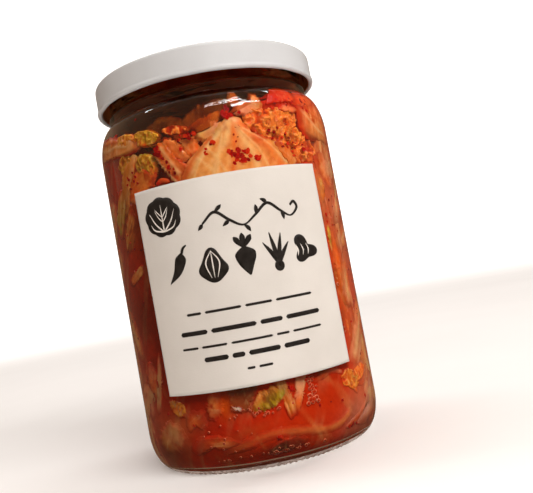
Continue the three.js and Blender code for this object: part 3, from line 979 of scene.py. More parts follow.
def slab(outline, first, second, lead=90.0, depth=-0.6, roll=0.4, thick=3.0, stain=0.3, vein=0.25,
         fibre=2.2, grain_length=14.0, crease=0.0, ribs=(), soft=0.0, seed=0.0, steps=34):
    """One cut piece with an outline of turns and heights. Its colour goes from the first to the second
    one in the direction lead, 90 being up. depth is how far it lies inside the wall, roll how far its
    border turns away from the glass, vein how strongly its pale fibres show and crease how deep its folds
    are and how strongly they are darkened with painted shade, and ribs are raised lines along paths, each
    with its width and colour."""
    corners = np.asarray(outline, float) * (MM_A_DEGREE, 1)
    middle = corners.mean(0)
    around = [np.roll(corners, shift, 0)[:, None] for shift in (1, 0, -1, -2)]
    share = np.linspace(0, 1, 8, endpoint=False)[None, :, None]
    loop = spline(*around, share).reshape(-1, 2) - middle
    heading = np.arctan2(loop[:, 1], loop[:, 0])
    order = np.argsort(heading)
    u, v = np.meshgrid(np.linspace(-1, 1, steps), np.linspace(-1, 1, steps))
    x, y = u * np.sqrt(1 - v**2 / 2), v * np.sqrt(1 - u**2 / 2)
    edge, toward = np.clip(np.hypot(x, y), 0, 1), np.arctan2(y, x)
    reach = np.interp(toward, heading[order], np.hypot(*loop.T)[order], period=2 * math.pi)
    reach = reach + 2.0 * (cloud(3 * np.cos(toward) + seed, 3 * np.sin(toward), seed) - 0.5)
    reach = reach + 1.8 * (cloud(8 * np.cos(toward), 8 * np.sin(toward) + seed, seed) - 0.5)
    across, along = edge * reach * np.cos(toward), edge * reach * np.sin(toward)
    sin, cos = math.sin(math.radians(lead)), math.cos(math.radians(lead))
    along_lead = across * cos + along * sin
    across_lead = along * cos - across * sin
    way = along_lead / np.abs(loop @ (cos, sin)).max()
    fibres = cloud(across_lead / fibre + seed, along_lead / grain_length, seed, 3)
    mottle = cloud(across / 5 + seed, along / 6, seed + 4)
    blotch = cloud(across / 3.2 + 3 * seed, along / 4.2, seed + 2) + 0.14 * ramp(0.55, 1, edge)
    colour = np.broadcast_to(first, (*u.shape, 3))
    colour = blend(colour, second, ramp(-0.6, 0.7, way + 1.2 * (mottle - 0.5)))
    fine = cloud(across / 1.1 + 2 * seed, along / 1.7, seed + 6, 3)
    colour = blend(colour, PALE_RIB, vein * ramp(0.5, 0.68, fibres) + 0.22 * ramp(0.5, 0.8, fine))
    colour = blend(colour, ORANGE_STAIN, (0.12 + 0.35 * stain) * ramp(0.48, 0.25, fine))
    colour = blend(colour, ORANGE_STAIN, 0.8 * stain * ramp(0.3, -0.1, fibres - 0.2) * ramp(0.3, 0.7, edge))
    colour = blend(colour, ORANGE_STAIN, ramp(0.75 - 0.4 * stain, 0.95 - 0.4 * stain, blotch))
    colour = blend(colour, RED_STAIN, 0.8 * ramp(0.88 - 0.35 * stain, 1.0 - 0.35 * stain, blotch))
    # Painted shade in the folds.
    colour = blend(colour, BROWN_SHADE, crease * ramp(0.5, 0.36, fibres))
    lift = roll * ramp(0.6, 1.0, edge) ** 2 + 0.5 * (vein + crease) * (0.5 - fibres) + 0.9 * (mottle - 0.5)
    flat = np.stack([across, along], -1) + middle
    for path, wide, tone in ribs:
        line = curve(np.asarray(path, float) * (MM_A_DEGREE, 1), 48)
        gap = np.sqrt(((flat[..., None, :] - line) ** 2).sum(-1)).min(-1)
        near = np.exp(-((gap / wide) ** 2)) * (0.55 + 0.9 * (mottle - 0.3))
        colour = blend(colour, tone, 0.9 * near)
        lift = lift - 0.2 * near
    place = np.degrees(flat[..., 0] / INNER_RADIUS)
    lay(place, along + middle[1], depth + lift, colour, edge, thick, soft)


def strand(path, width, first, second, depth, soft, seed, lanes=9, steps=44):
    """A narrow piece along a path of turns and heights, tapering to both ends."""
    path = curve(np.asarray(path, float) * (MM_A_DEGREE, 1), steps)
    along = np.gradient(path, axis=0)
    along /= np.linalg.norm(along, axis=1)[:, None]
    side = np.stack([-along[:, 1], along[:, 0]], 1)
    share = np.linspace(0, 1, len(path))
    waver = 0.75 + 0.5 * cloud(share * 6 + seed, 0 * share + seed)
    widths = width * waver * np.sqrt(np.clip(1 - (2 * share - 1) ** 4, 0.02, 1))
    lane = np.linspace(-1, 1, lanes)[:, None]
    flat = path[None] + side[None] * (widths / 2)[None, :, None] * lane[..., None]
    edge = np.maximum(np.abs(lane), np.abs(2 * share - 1)[None] ** 6)
    mottle = cloud(flat[..., 0] / 3 + seed, flat[..., 1] / 3, seed)
    colour = np.broadcast_to(first, (*edge.shape, 3))
    colour = blend(colour, second, ramp(0.2, 0.8, share[None] + mottle - 0.5))
    lift = 0.32 * edge**2 + 0.35 * (mottle - 0.5)
    place = np.degrees(flat[..., 0] / INNER_RADIUS)
    lay(place, flat[..., 1], depth + lift, colour, edge, 1.2, soft)


# Far back under the lid: pieces that little light reaches, the first two painted in shaded colours as
# painted shade.
slab([(-17, 117), (-15, 121.5), (-8, 124.4), (0, 126), (8, 126), (9.6, 121), (4, 117), (-8, 115)],
     SHADED_BEIGE, SHADED_BROWN, 90, depth=2.2, roll=1.4, stain=0.05, vein=0.5, seed=2.9)
slab([(-41, 117.5), (-36, 121.4), (-29, 123.4), (-22, 123.8), (-16, 121.8), (-11, 118), (-16, 114),
      (-25, 113), (-36, 114)],
     SHADED_OLIVE, LIT_OLIVE, 60, depth=1.5, roll=1.4, stain=0.05, vein=0.2, grain_length=5.0, crease=0.4,
     seed=1.2)
slab([(-12, 117), (-8, 119.4), (-1, 120.8), (5, 121.4), (7, 119), (2, 116), (-6, 115)],
     PINK_FLESH, PEACH, 80, depth=0.9, roll=1.3, stain=0.15, vein=0.4, seed=2.4)

# Rolled stems behind the big one.
slab([(-20.5, 117.8), (-17, 118.2), (-12.5, 116.4), (-8.5, 114), (-7, 110.5), (-8.5, 108), (-13, 107.2),
      (-15.5, 111), (-18.5, 114.5)],
     ORANGE_FLESH, PEACH, 120, depth=0.5, roll=1.1, seed=3.1)
slab([(-9, 116.2), (-5, 117.9), (0, 118.9), (4, 118.4), (4.5, 115), (1, 111.5), (-3, 111), (-7, 113)],
     CREAM, PINK_FLESH, 10, depth=0.2, roll=1.0, stain=0.1, seed=4.4)
slab([(-25.5, 114.6), (-22, 116.3), (-18, 114.4), (-14.5, 111), (-12.5, 107.4), (-16, 106.6), (-20, 108.5),
      (-24.5, 111.5)],
     ORANGE_FLESH, PEACH, 30, depth=0.0, roll=0.9, stain=0.5, seed=5.3)
slab([(10.5, 120.6), (13, 123), (19, 123.6), (25.5, 122.8), (26.5, 120.4), (20, 118.6), (14, 118.6)],
     PINK_FLESH, PEACH, 0, depth=0.1, roll=0.7, stain=0.2, seed=6.2)
slab([(9.5, 122.6), (10.3, 125.8), (13, 127.4), (15.6, 126.4), (15.2, 123.4), (12, 122.2)],
     AMBER, CREAM, 100, depth=0.4, roll=0.9, stain=0.05, seed=7.9)
slab([(19, 122), (21, 125), (24, 126.2), (26.5, 124), (25.6, 121.6), (22, 121)],
     ORANGE_FLESH, PEACH, 90, depth=0.2, roll=0.7, seed=8.1)

# The big pale stem in front, with its paler ribs.
slab([(-20, 98), (-16.5, 103), (-13, 106), (-8, 109.4), (-2, 113), (3, 116.5), (8, 118.6), (13, 117.8),
      (16, 115), (18.5, 112.2), (23, 111), (28, 109.6), (33, 107.4), (37.5, 105.4), (39.5, 102), (40, 97),
      (28, 92), (2, 91), (-16, 93)],
     CREAM, PEACH, 35, depth=-0.45, roll=0.5, thick=5.0, stain=0.34, vein=0.2, fibre=3.0, seed=1.7,
     steps=94,
     ribs=(
         ([(8, 117.5), (2, 113), (-5, 108), (-12, 102)], 0.9, PALE_RIB),
         ([(9, 117), (5, 111), (0, 105), (-3, 98)], 1.1, PALE_RIB),
         ([(10, 117), (9, 110), (7, 103), (5, 97)], 0.8, ORANGE_FLESH),
         ([(11, 116.5), (14, 110), (17, 104), (18, 97)], 1.2, PALE_RIB),
         ([(12.5, 116), (19, 110.5), (26, 105), (31, 98)], 1.3, ORANGE_FLESH),
         ([(-9, 106.5), (-6, 104.4), (-3.4, 102), (-1.5, 99.6)], 0.45, PALE_RIB),
         ([(-4.5, 110), (-0.5, 106), (2, 102), (3.4, 98.5)], 0.45, PALE_RIB),
         ([(-1, 112.6), (-5.5, 109.8), (-11, 106.2), (-16, 101.5)], 0.9, ORANGE_STAIN),
         ([(-2, 111), (-8, 105), (-13, 98)], 0.35, PALE_RIB),
         ([(4, 113), (1, 106), (-1, 99)], 0.35, PALE_RIB),
         ([(13, 113), (20, 106), (24, 98)], 0.4, PALE_RIB),
         ([(14, 114), (24, 108.6), (33, 101)], 0.4, PALE_RIB),
         ([(18, 110.5), (21.5, 108), (24, 105.5)], 1.0, ORANGE_STAIN),
         ([(-13.5, 103.4), (-16, 100.6), (-18, 98)], 1.4, ORANGE_STAIN),
     ))
slab([(26, 108.6), (30.5, 108.6), (35, 106.8), (38.6, 104), (39.4, 100), (36, 98), (33, 101.5),
      (29.5, 105)],
     ORANGE_FLESH, PEACH, -40, depth=-0.55, stain=0.75, seed=9.4)

# The wedge to its left, with a white cut rim.
slab([(-29, 110.4), (-27.5, 113.4), (-25, 114.4), (-21.5, 113), (-19, 109.5), (-16, 106.6), (-13.8, 104.6),
      (-16, 101.5), (-19, 98.6), (-22, 100.6), (-25.4, 105)],
     ORANGE_FLESH, PEACH, -50, depth=-0.45, stain=0.5, vein=0.35, fibre=1.5, seed=10.2, steps=48,
     ribs=(
         ([(-28.4, 110), (-25.6, 106.1), (-22.6, 102.4), (-19.8, 99.6)], 0.5, PALE_RIB),
         ([(-25, 112.6), (-21.6, 107.6), (-18.4, 103)], 0.7, PALE_RIB),
     ))

# Stems and leaf ribs at the left.
slab([(-78, 124), (-66, 123.4), (-57, 122.4), (-49, 120.8), (-41, 119), (-37, 117), (-37.5, 114.4),
      (-46, 113.8), (-57, 114.6), (-68, 115.6), (-78, 116.6)],
     PEACH, AMBER, 80, roll=0.5, stain=0.4, vein=0.4, fibre=1.6, crease=0.25, soft=0.3, seed=12.6, steps=56,
     ribs=(
         ([(-74, 117.2), (-62, 115.8), (-50, 115.2), (-39.5, 115.4)], 0.9, CREAM),
         ([(-72, 120.4), (-62, 118.6), (-53, 118.4), (-45, 117)], 0.5, PALE_RIB),
         ([(-70, 122), (-60, 121), (-52, 120)], 0.8, ORANGE_STAIN),
     ))
slab([(-60, 94), (-55.5, 103), (-51, 109.6), (-46, 113), (-40, 112.4), (-42.5, 107.6), (-47, 103.5),
      (-50, 97), (-53, 92)],
     UMBER, AMBER, 60, depth=-0.5, roll=0.6, stain=0.45, seed=14.3)
slab([(-50, 103), (-44, 107), (-37, 108), (-31.5, 106), (-32, 102), (-39, 98), (-48, 95)],
     ORANGE_FLESH, AMBER, 20, depth=-0.3, roll=0.7, stain=0.6, fibre=1.4, seed=15.5)
strand([(-31, 100.8), (-27.5, 101.7), (-23.5, 100.8)],
       1.8, SAUCE_RED, ORANGE_STAIN, -0.3, 0.3, seed=6.0)

# The smooth pieces and the sauce at the right.
slab([(46, 120.6), (52, 122.4), (62, 124), (76, 125), (80, 116), (74, 108), (60, 108), (49, 110),
      (45, 115)],
     PEACH, WARM_ORANGE, 75, stain=0.4, vein=0.5, fibre=1.3, crease=0.15, soft=0.6, seed=17.7, steps=56,
     ribs=(
         ([(45.6, 114), (51, 111.6), (60, 110.2), (71, 110)], 0.9, CREAM),
         ([(48, 120.6), (54, 117), (62, 113.4), (72, 112)], 0.6, PALE_RIB),
         ([(53, 121.6), (60, 118.6), (70, 117)], 0.8, ORANGE_STAIN),
     ))
slab([(43, 121.8), (50, 120.8), (58, 121.4), (66, 123), (70, 126), (58, 126.6), (48, 126)],
     SAUCE_ORANGE, SAUCE_SCARLET, 180, depth=-0.5, roll=0.5, vein=0.1, soft=0.6, seed=38.4)
slab([(28, 122), (33, 121.8), (40, 122.2), (47, 122.4), (50, 124.4), (45, 127), (38, 127.4), (33, 126.4)],
     SAUCE_RED, SAUCE_BRIGHT, 0, depth=-0.55, roll=0.6, stain=0.15, vein=0.05, soft=0.5, seed=18.4,
     steps=44)
slab([(33, 120.2), (37, 121.6), (43, 121.4), (48, 119.8), (44, 118.6), (37, 118.8)],
     SAUCE_BRIGHT, ORANGE_FLESH, -90, stain=0.4, soft=0.7, seed=39.8, steps=28)
slab([(53, 103), (60, 107), (70, 106), (76, 98), (70, 90), (60, 92), (54, 97)],
     PINK_FLESH, ORANGE_FLESH, 200, roll=0.5, stain=0.35, soft=0.4, seed=19.9)

# Beside the label, and down to the heel.
slab([(52.4, 95), (55.6, 96), (57.4, 92), (56, 87), (53, 86)],
     CREAM, ORANGE_FLESH, -30, soft=0.4, seed=31.1, steps=28)
slab([(52, 77), (54.6, 78), (55.4, 72), (53.6, 67), (51.6, 69)],
     LEAF_YELLOW, AMBER, -60, crease=0.3, soft=0.4, seed=32.3, steps=28)
slab([(60, 80), (65, 84), (68, 78), (66, 68), (62, 66)],
     PINK_FLESH, PEACH, 70, depth=-0.55, soft=0.6, seed=33.7, steps=28)
slab([(-61, 85), (-55, 92), (-49, 97), (-47.4, 90), (-51, 83), (-58, 79)],
     UMBER, AMBER, 50, depth=-0.62, stain=0.5, vein=0.5, fibre=1.4, crease=0.4, soft=0.3, seed=34.9)
slab([(-69, 90), (-63, 98), (-56, 103.6), (-52, 100), (-56, 92.6), (-63, 86)],
     LEAF_OLIVE, AMBER, 60, depth=-0.55, stain=0.4, vein=0.4, fibre=1.3, crease=0.4, soft=0.3, seed=45.7,
     steps=28)
slab([(-63, 71), (-55, 74), (-48, 75.4), (-47.6, 72.2), (-54, 69.6), (-62, 68)],
     ORANGE_FLESH, CREAM, 20, depth=-0.62, stain=0.45, vein=0.5, fibre=1.2, soft=0.4, seed=35.3)
slab([(-58.5, 22), (-54.5, 31), (-51, 38.5), (-47.6, 45), (-46.6, 40), (-49.6, 31), (-54, 22.5)],
     PALE_PEACH, PINK_FLESH, 60, depth=-0.62, stain=0.25, vein=0.5, fibre=1.2, soft=0.5, seed=36.2)
slab([(-67, 22), (-62, 34), (-58, 33), (-61, 20)],
     PINK_FLESH, ORANGE_FLESH, 70, depth=-0.5, soft=0.8, seed=37.6, steps=28)
# A bright orange patch of painted light beside the label.
slab([(53, 75), (57, 77), (60.4, 66), (60, 54), (57, 47), (54, 56)],
     GLOW_ORANGE, GLOW_RED, 0, depth=-0.68, roll=0.35, stain=0.1, vein=0.1, soft=0.8, seed=46.1, steps=24)
slab([(49, 7.4), (57, 11), (64, 17), (72, 25), (79, 18), (71, 9), (58, 5.4)],
     PALE_PINK, PINK_FLESH, 30, depth=-0.56, roll=0.35, stain=0.15, vein=0.4, fibre=1.4, soft=0.8,
     seed=47.3, steps=24)

# Low in the jar, in the brine: a dark hollow of painted shade, a long strand, a pocket of gas in painted
# shade with a painted highlight, a forked rib and soft ends.
# The hollow is painted shade: a dark piece on the glass, not a dip in the shape.
slab([(-3, 6.4), (2, 8.6), (8, 9.8), (15, 9.8), (18.4, 8.2), (17, 6.2), (9, 5.2), (1, 5)],
     HOLLOW_SHADE, HOLLOW_EDGE, 60, depth=-0.45, roll=0.3, stain=0.0, vein=0.0, soft=0.5, seed=40.3,
     ribs=(
         ([(3, 9), (9, 10), (15, 9.8), (17.6, 8.6), (18, 7)], 0.3, PEACH),
     ))
strand([(-22, 8), (-12, 9.5), (-4, 11.2), (4, 12.1), (12, 11.4), (22, 10), (32, 9), (40, 10.4), (48, 13.8)],
       4.4, STRAND_DULL, STRAND_BRIGHT, -0.4, 1.0, seed=8.8, lanes=19, steps=90)
# The pocket of gas in painted shade: dark brown, lighter toward its bottom.
slab([(-14.8, 26), (-13.8, 22.6), (-10.8, 20.6), (-6.8, 20.8), (-4.4, 22.6), (-2, 25), (0, 28), (0, 31),
      (-14, 31)],
     POCKET_SHADE, POCKET_EDGE, 250, depth=-0.55, roll=0.3, stain=0.0, vein=0.0, soft=0.2, seed=20.6)
# A painted highlight on the pocket's lower edge.
slab([(-13.4, 23.4), (-11.8, 23), (-9.4, 22.8), (-8.2, 21.9), (-9.6, 21.1), (-11.6, 21.2), (-13, 22)],
     POCKET_GLINT, GLINT_WHITE, 0, depth=-0.74, roll=0.1, thick=0.6, stain=0.0, vein=0.0, soft=0.9,
     seed=10.1, steps=24)
slab([(-5.8, 21.4), (-3.5, 24.5), (0, 26.6), (4, 27.8), (9, 28.8), (12.5, 29.5), (13.4, 25.5), (11, 22.8),
      (8, 20.8), (4, 19.8), (0, 19.2), (-4, 19.8)],
     LEAF_OLIVE, AMBER, 110, roll=0.5, vein=0.3, fibre=1.1, grain_length=3.0, crease=0.6, soft=0.25,
     seed=21.3, steps=60)
slab([(5.5, 30), (11.5, 29.8), (14, 24.6), (15.8, 19), (13.8, 15.2), (11, 16.6), (9, 22)],
     UMBER, AMBER, -80, depth=-0.62, vein=0.4, fibre=0.9, grain_length=5.0, crease=0.5, soft=0.6, seed=22.2)
slab([(17.4, 30.6), (23.2, 30.6), (21.2, 24.6), (18.4, 19.6), (15.2, 15.6), (13.8, 18), (15.6, 24)],
     ORANGE_FLESH, RIB_PINK, 70, depth=-0.64, stain=0.2, vein=0.4, fibre=0.9, soft=0.6, seed=23.5)
slab([(-25.4, 20.6), (-25.2, 25), (-22.8, 29), (-17.6, 29), (-16.4, 24.4), (-18.2, 20.6), (-22, 19)],
     CREAM, ORANGE_FLESH, -10, depth=-0.5, roll=0.3, stain=0.5, vein=0.5, fibre=1.0, soft=1.0, seed=44.4)
slab([(-47, 26.4), (-44, 27.6), (-39.5, 25.4), (-36.2, 22.4), (-38, 20.6), (-42, 22), (-46, 24)],
     ORANGE_FLESH, AMBER, 120, stain=0.4, vein=0.45, fibre=0.9, soft=0.35, seed=25.8)
slab([(-62, 11), (-57, 17), (-49, 19.8), (-42, 18.4), (-38, 14), (-43, 9.4), (-53, 8)],
     UMBER, SOFT_CREAM, 60, depth=-0.56, stain=0.2, vein=0.5, fibre=1.3, soft=0.7, seed=26.9, steps=40)
slab([(41.6, 24.6), (46, 26.4), (51, 25), (55.4, 22), (54.4, 18.6), (51, 17), (48, 19.6), (45.4, 22.4)],
     ORANGE_FLESH, AMBER, 110, stain=0.25, vein=0.5, fibre=0.9, soft=0.35, seed=27.1)
slab([(-39, 20.5), (-34, 24), (-28.6, 23.4), (-25, 19.6), (-27.6, 15.6), (-32, 17.4), (-37, 15.4)],
     ORANGE_FLESH, ORANGE_STAIN, 30, depth=-0.42, roll=0.3, stain=0.7, vein=0.5, fibre=1.0, soft=1.0,
     seed=41.2, steps=28)
slab([(-38, 10.4), (-31, 14), (-22, 14.6), (-13, 12.8), (-10, 10), (-18, 9.2), (-27, 10), (-34, 7.6)],
     ORANGE_STAIN, AMBER, 0, depth=-0.42, roll=0.3, stain=0.6, vein=0.5, fibre=1.0, soft=1.0, seed=42.6,
     steps=30)
slab([(-62, 38), (-55, 41), (-50.6, 33), (-55, 26), (-61, 29)],
     ORANGE_FLESH, PINK_FLESH, 70, depth=-0.5, roll=0.35, stain=0.4, vein=0.4, soft=0.8, seed=43.9,
     steps=28)
for tail_number, tail in enumerate((
    [(52, 21.6), (60, 22.6), (71, 23.4)],
    [(53, 20), (62, 19.3), (72, 19.8)],
    [(50, 25), (58, 26), (69, 26.6)],
    [(25, 25.2), (32, 27), (38, 27.4), (44, 25.6)],
    [(40, 7), (50, 9), (60, 13), (68, 18)],
    [(56, 34), (58, 48), (56, 62)],
    [(64, 40), (62, 56), (66, 74)],
    [(55, 70), (57, 82), (54, 94)],
)):
    strand(tail, 2.8, ORANGE_STAIN, PINK_FLESH, -0.42, 1.0, seed=11.3 + 1.7 * tail_number)

# The rest of the wall, except behind the label.
random = np.random.default_rng(STEM_SEED)
stem_tones = (PEACH, PINK_FLESH, ORANGE_FLESH, paint(240, 152, 104), paint(232, 116, 72))
for ring_height in (12, 27, 42, 57, 72, 87, 102, 114):
    for turned_by in np.arange(66, 300, 24.0):
        place = turned_by + random.uniform(-8, 8)
        place = place if place < 180 else place - 360
        level = ring_height + random.uniform(-6, 6)
        half_wide, half_long = random.uniform(4.5, 8.5), random.uniform(10, 18)
        lean = math.radians(random.uniform(-70, 70))
        around = np.linspace(0, 2 * math.pi, 9, endpoint=False)
        swing = random.uniform(0.75, 1.25, 9)
        x = half_wide * np.sign(np.cos(around)) * np.abs(np.cos(around)) ** 0.6 * swing
        y = half_long * np.sign(np.sin(around)) * np.abs(np.sin(around)) ** 0.6 * swing
        rib = np.linspace(-0.75, 0.75, 4)[:, None] * half_long * (-math.sin(lean), math.cos(lean))
        outline = np.stack(
            [
                place + np.degrees((x * math.cos(lean) - y * math.sin(lean)) / INNER_RADIUS),
                level + x * math.sin(lean) + y * math.cos(lean),
            ],
            -1,
        )
        first, second = random.choice(len(stem_tones), 2, replace=False)
        slab(
            outline,
            stem_tones[first],
            stem_tones[second],
            lead=90 + math.degrees(lean),
            depth=random.uniform(-0.7, -0.35),
            roll=random.uniform(0.4, 1.0),
            stain=random.uniform(0.1, 0.7),
            vein=random.uniform(0.15, 0.45),
            fibre=random.uniform(1.0, 2.6),
            soft=random.choice([0.15, 0.35, 0.7]),
            ribs=((rib / (MM_A_DEGREE, 1) + (place, level), 0.2 * half_wide, PALE_RIB),),
            seed=random.uniform(0, 30),
            steps=16,
        )
cabbage_stem = wet_finish("cabbage_stem", 0.2, 520, 0.00016, 0.35, 0.4)
cabbage_stems = stems.build("cabbage_stems", [cabbage_stem])
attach(cabbage_stems, "root")


# The leaves: thin green and yellow leaf blades, ruffled into frills along their free edge and
# stained orange where the brine has soaked in. Their crests are painted lighter, as painted highlights,
# and their hollows darker red, as painted shade.
LEAF_ORANGE = paint(250, 98, 24)
LEAF_CREST_HIGHLIGHT = paint(255, 142, 54)
LEAF_RED = paint(180, 34, 12)
LEAF_SEED = 23
LEAF_INTO_GLASS = 0.72

leaves = Sheets()


def leaf(turned_by, height, width, length, lean=0.0, frill=2.0, fold=2.6, press=0.4, green=0.0,
         seed=0.0, thick=0.9, columns=56, rows=36):
    """Adds one leaf blade with a ragged edge, crumpled into folds fold wide and frill deep. press is how
    far its crests reach into the glass, and green the share of it that the brine has left green."""
    u, v = np.meshgrid(np.linspace(-1, 1, columns), np.linspace(-1, 1, rows))
    heading = np.arctan2(v, u)
    ragged = 1 + 0.5 * (cloud(2.2 * np.cos(heading) + seed, 2.2 * np.sin(heading), seed) - 0.5)
    across = u * np.sqrt(1 - v**2 / 2) * width / 2 * ragged
    along = v * np.sqrt(1 - u**2 / 2) * length / 2 * ragged
    place, level = on_wall(turned_by, height, across, along, lean)
    level = np.clip(level, LOWEST_PIECE, HIGHEST_PIECE)
    swirl_x = across / fold + 1.7 * cloud(across / 6 + seed, along / 6, seed + 2, 2)
    swirl_y = along / (1.7 * fold) + 1.7 * cloud(across / 6, along / 6 + seed, seed + 7, 2)
    ridge = 1 - np.abs(2 * noise(swirl_x, swirl_y, seed) - 1)
    crimp = 1 - np.abs(2 * noise(2.4 * swirl_x, 2.0 * swirl_y, seed + 3) - 1)
    crest = np.clip(0.8 * ridge + 0.2 * crimp, 0, 1) ** 1.3
    edge = np.sqrt(np.clip(u**2 + v**2 - u**2 * v**2, 0, 1))
    depth = frill * (1 - crest) + 1.2 * ramp(0.75, 1.0, edge) ** 2 - press
    tone = cloud(across / 4.5 + seed, along / 4.5, seed + 9)
    # Painted light and shade: crests lighter, hollows darker red; the red also varies at random.
    colour = blend(np.broadcast_to(LEAF_ORANGE, (*u.shape, 3)), LEAF_CREST_HIGHLIGHT, ramp(0.45, 0.9, crest))
    colour = blend(colour, LEAF_RED, 0.75 * ramp(0.5, 0.1, crest) + 0.4 * ramp(0.55, 0.72, tone))
    fine = cloud(across / 0.9 + seed, along / 0.9, seed + 5, 3)
    # The green parts too are painted lighter yellow on the crests, as painted highlights.
    leafy = blend(np.broadcast_to(LEAF_OLIVE, (*u.shape, 3)), LEAF_YELLOW, 0.8 * ramp(0.45, 0.95, crest))
    leafy = blend(leafy, BROWN_OLIVE, 0.8 * ramp(0.5, 0.3, fine) + 0.5 * ramp(0.5, 0.66, tone))
    colour = blend(colour, leafy, green * ramp(0.2, 0.45, tone + 0.1 * v))
    colour = blend(colour, PALE_RIB, 0.3 * ramp(0.54, 0.76, fine))
    colour = blend(colour, ORANGE_STAIN, 0.4 * ramp(0.46, 0.28, fine))
    shown = sunk(colour, place, level, depth)
    depth = np.maximum(depth, -LEAF_INTO_GLASS)
    leaves.add(*backed(in_jar(place, level, depth), in_jar(place, level, depth + thick), shown))


# The leaves that show above and below the label.
leaf(24, 116, 15, 10, lean=-24, frill=2.0, fold=1.9, press=0.5, seed=3.1, columns=88, rows=60)
leaf(35, 116, 17, 11, lean=8, frill=2.2, fold=1.8, press=0.45, seed=4.6, columns=96, rows=66)
leaf(30, 111.6, 15, 8, lean=-26, frill=1.9, fold=1.9, press=0.3, seed=1.7, columns=88, rows=52)
leaf(41, 110.6, 9, 8, lean=-30, frill=1.5, fold=1.8, press=0.6, green=0.2, seed=5.2, columns=56, rows=46)
leaf(52, 105.6, 15, 10, lean=-12, frill=1.7, fold=1.8, press=0.6, seed=5.9, columns=72, rows=54)
leaf(44, 103.6, 9, 7, lean=20, frill=1.8, fold=1.7, press=0.3, seed=6.6, columns=48, rows=40)
leaf(-33, 117.6, 12, 6, lean=-12, frill=0.6, fold=1.2, press=0.6, green=0.8, seed=25.4, columns=72, rows=44)
leaf(-46, 119.4, 12, 4.6, lean=-8, frill=0.5, fold=1.3, press=0.72, green=0.5, seed=20.3)
leaf(-35.5, 108.4, 9, 9.5, lean=12, frill=0.7, fold=1.3, press=0.4, green=0.8, seed=26.8)
leaf(-48, 110.8, 10, 8, lean=-20, frill=0.6, fold=1.3, press=0.55, green=0.6, seed=22.9)
leaf(-17, 117.6, 10, 3.5, lean=-8, frill=1.2, fold=1.8, press=0.3, seed=11.9)
leaf(-41, 24.2, 9, 6, lean=-22, frill=0.5, fold=1.4, press=0.72, green=0.3, seed=24.3)
leaf(49, 22.4, 12, 8, lean=-20, frill=0.5, fold=1.4, press=0.72, green=0.3, seed=18.9)
leaf(57, 23.4, 12, 6, lean=14, frill=0.5, fold=1.4, press=0.72, seed=21.7)

# The rest of the wall, except behind the label.
random = np.random.default_rng(LEAF_SEED)
for ring_height in (24, 46, 64, 82, 100, 116):
    for turned_by in np.arange(66, 300, 39.0):
        place = turned_by + random.uniform(-14, 14)
        size = random.uniform(0.7, 1.25)
        leaf(
            place if place < 180 else place - 360,
            ring_height + random.uniform(-6, 6),
            17 * size,
            13 * size,
            lean=random.uniform(-70, 70),
            frill=random.uniform(1.1, 2.0),
            fold=random.uniform(2.0, 3.2),
            press=random.uniform(0.3, 0.7),
            green=random.choice([0.0, 0.0, 0.4, 0.9]),
            seed=random.uniform(0, 30),
            columns=36,
            rows=28,
        )
cabbage_leaf = wet_finish("cabbage_leaf", 0.2, 900, 0.0002, 0.3, 0.4)
cabbage_leaves = leaves.build("cabbage_leaves", [cabbage_leaf])
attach(cabbage_leaves, "root")


# The chilli flakes: crushed dried red pepper, small uneven chips that cling to the cabbage and to
# the glass, thickest on the big stem in front and in the leaves at the right.
FLAKE_REDS = (paint(170, 10, 8), paint(196, 22, 10), paint(140, 8, 8), paint(208, 44, 14))
FLAKE_SEED = 41
FLAKE_THICKNESS = 0.4


def flake(sheets, turned_by, height, size, spin, tone, depth, corners=6):
    """One chip: an uneven flat plate with sharp corners, lying on the wall."""
    around = np.linspace(0, 2 * math.pi, corners, endpoint=False)
    reach = size / 2 * (0.55 + 0.9 * noise(around * 3 + 7 * spin, size * 3.7, spin * 5))
    across, along = reach * np.cos(around), 0.75 * reach * np.sin(around)
    place, level = on_wall(turned_by, height, across, along, math.degrees(spin))
    depth = depth + 0.12 * across / size
    points = np.concatenate([in_jar(place, level, depth), in_jar(place, level, depth + FLAKE_THICKNESS)])
    face = np.arange(corners)
    back = face + corners
    sheets.add(points, rim(face, back), np.broadcast_to(tone, points.shape), (face, back[::-1]))


flakes = Sheets()
random = np.random.default_rng(FLAKE_SEED)
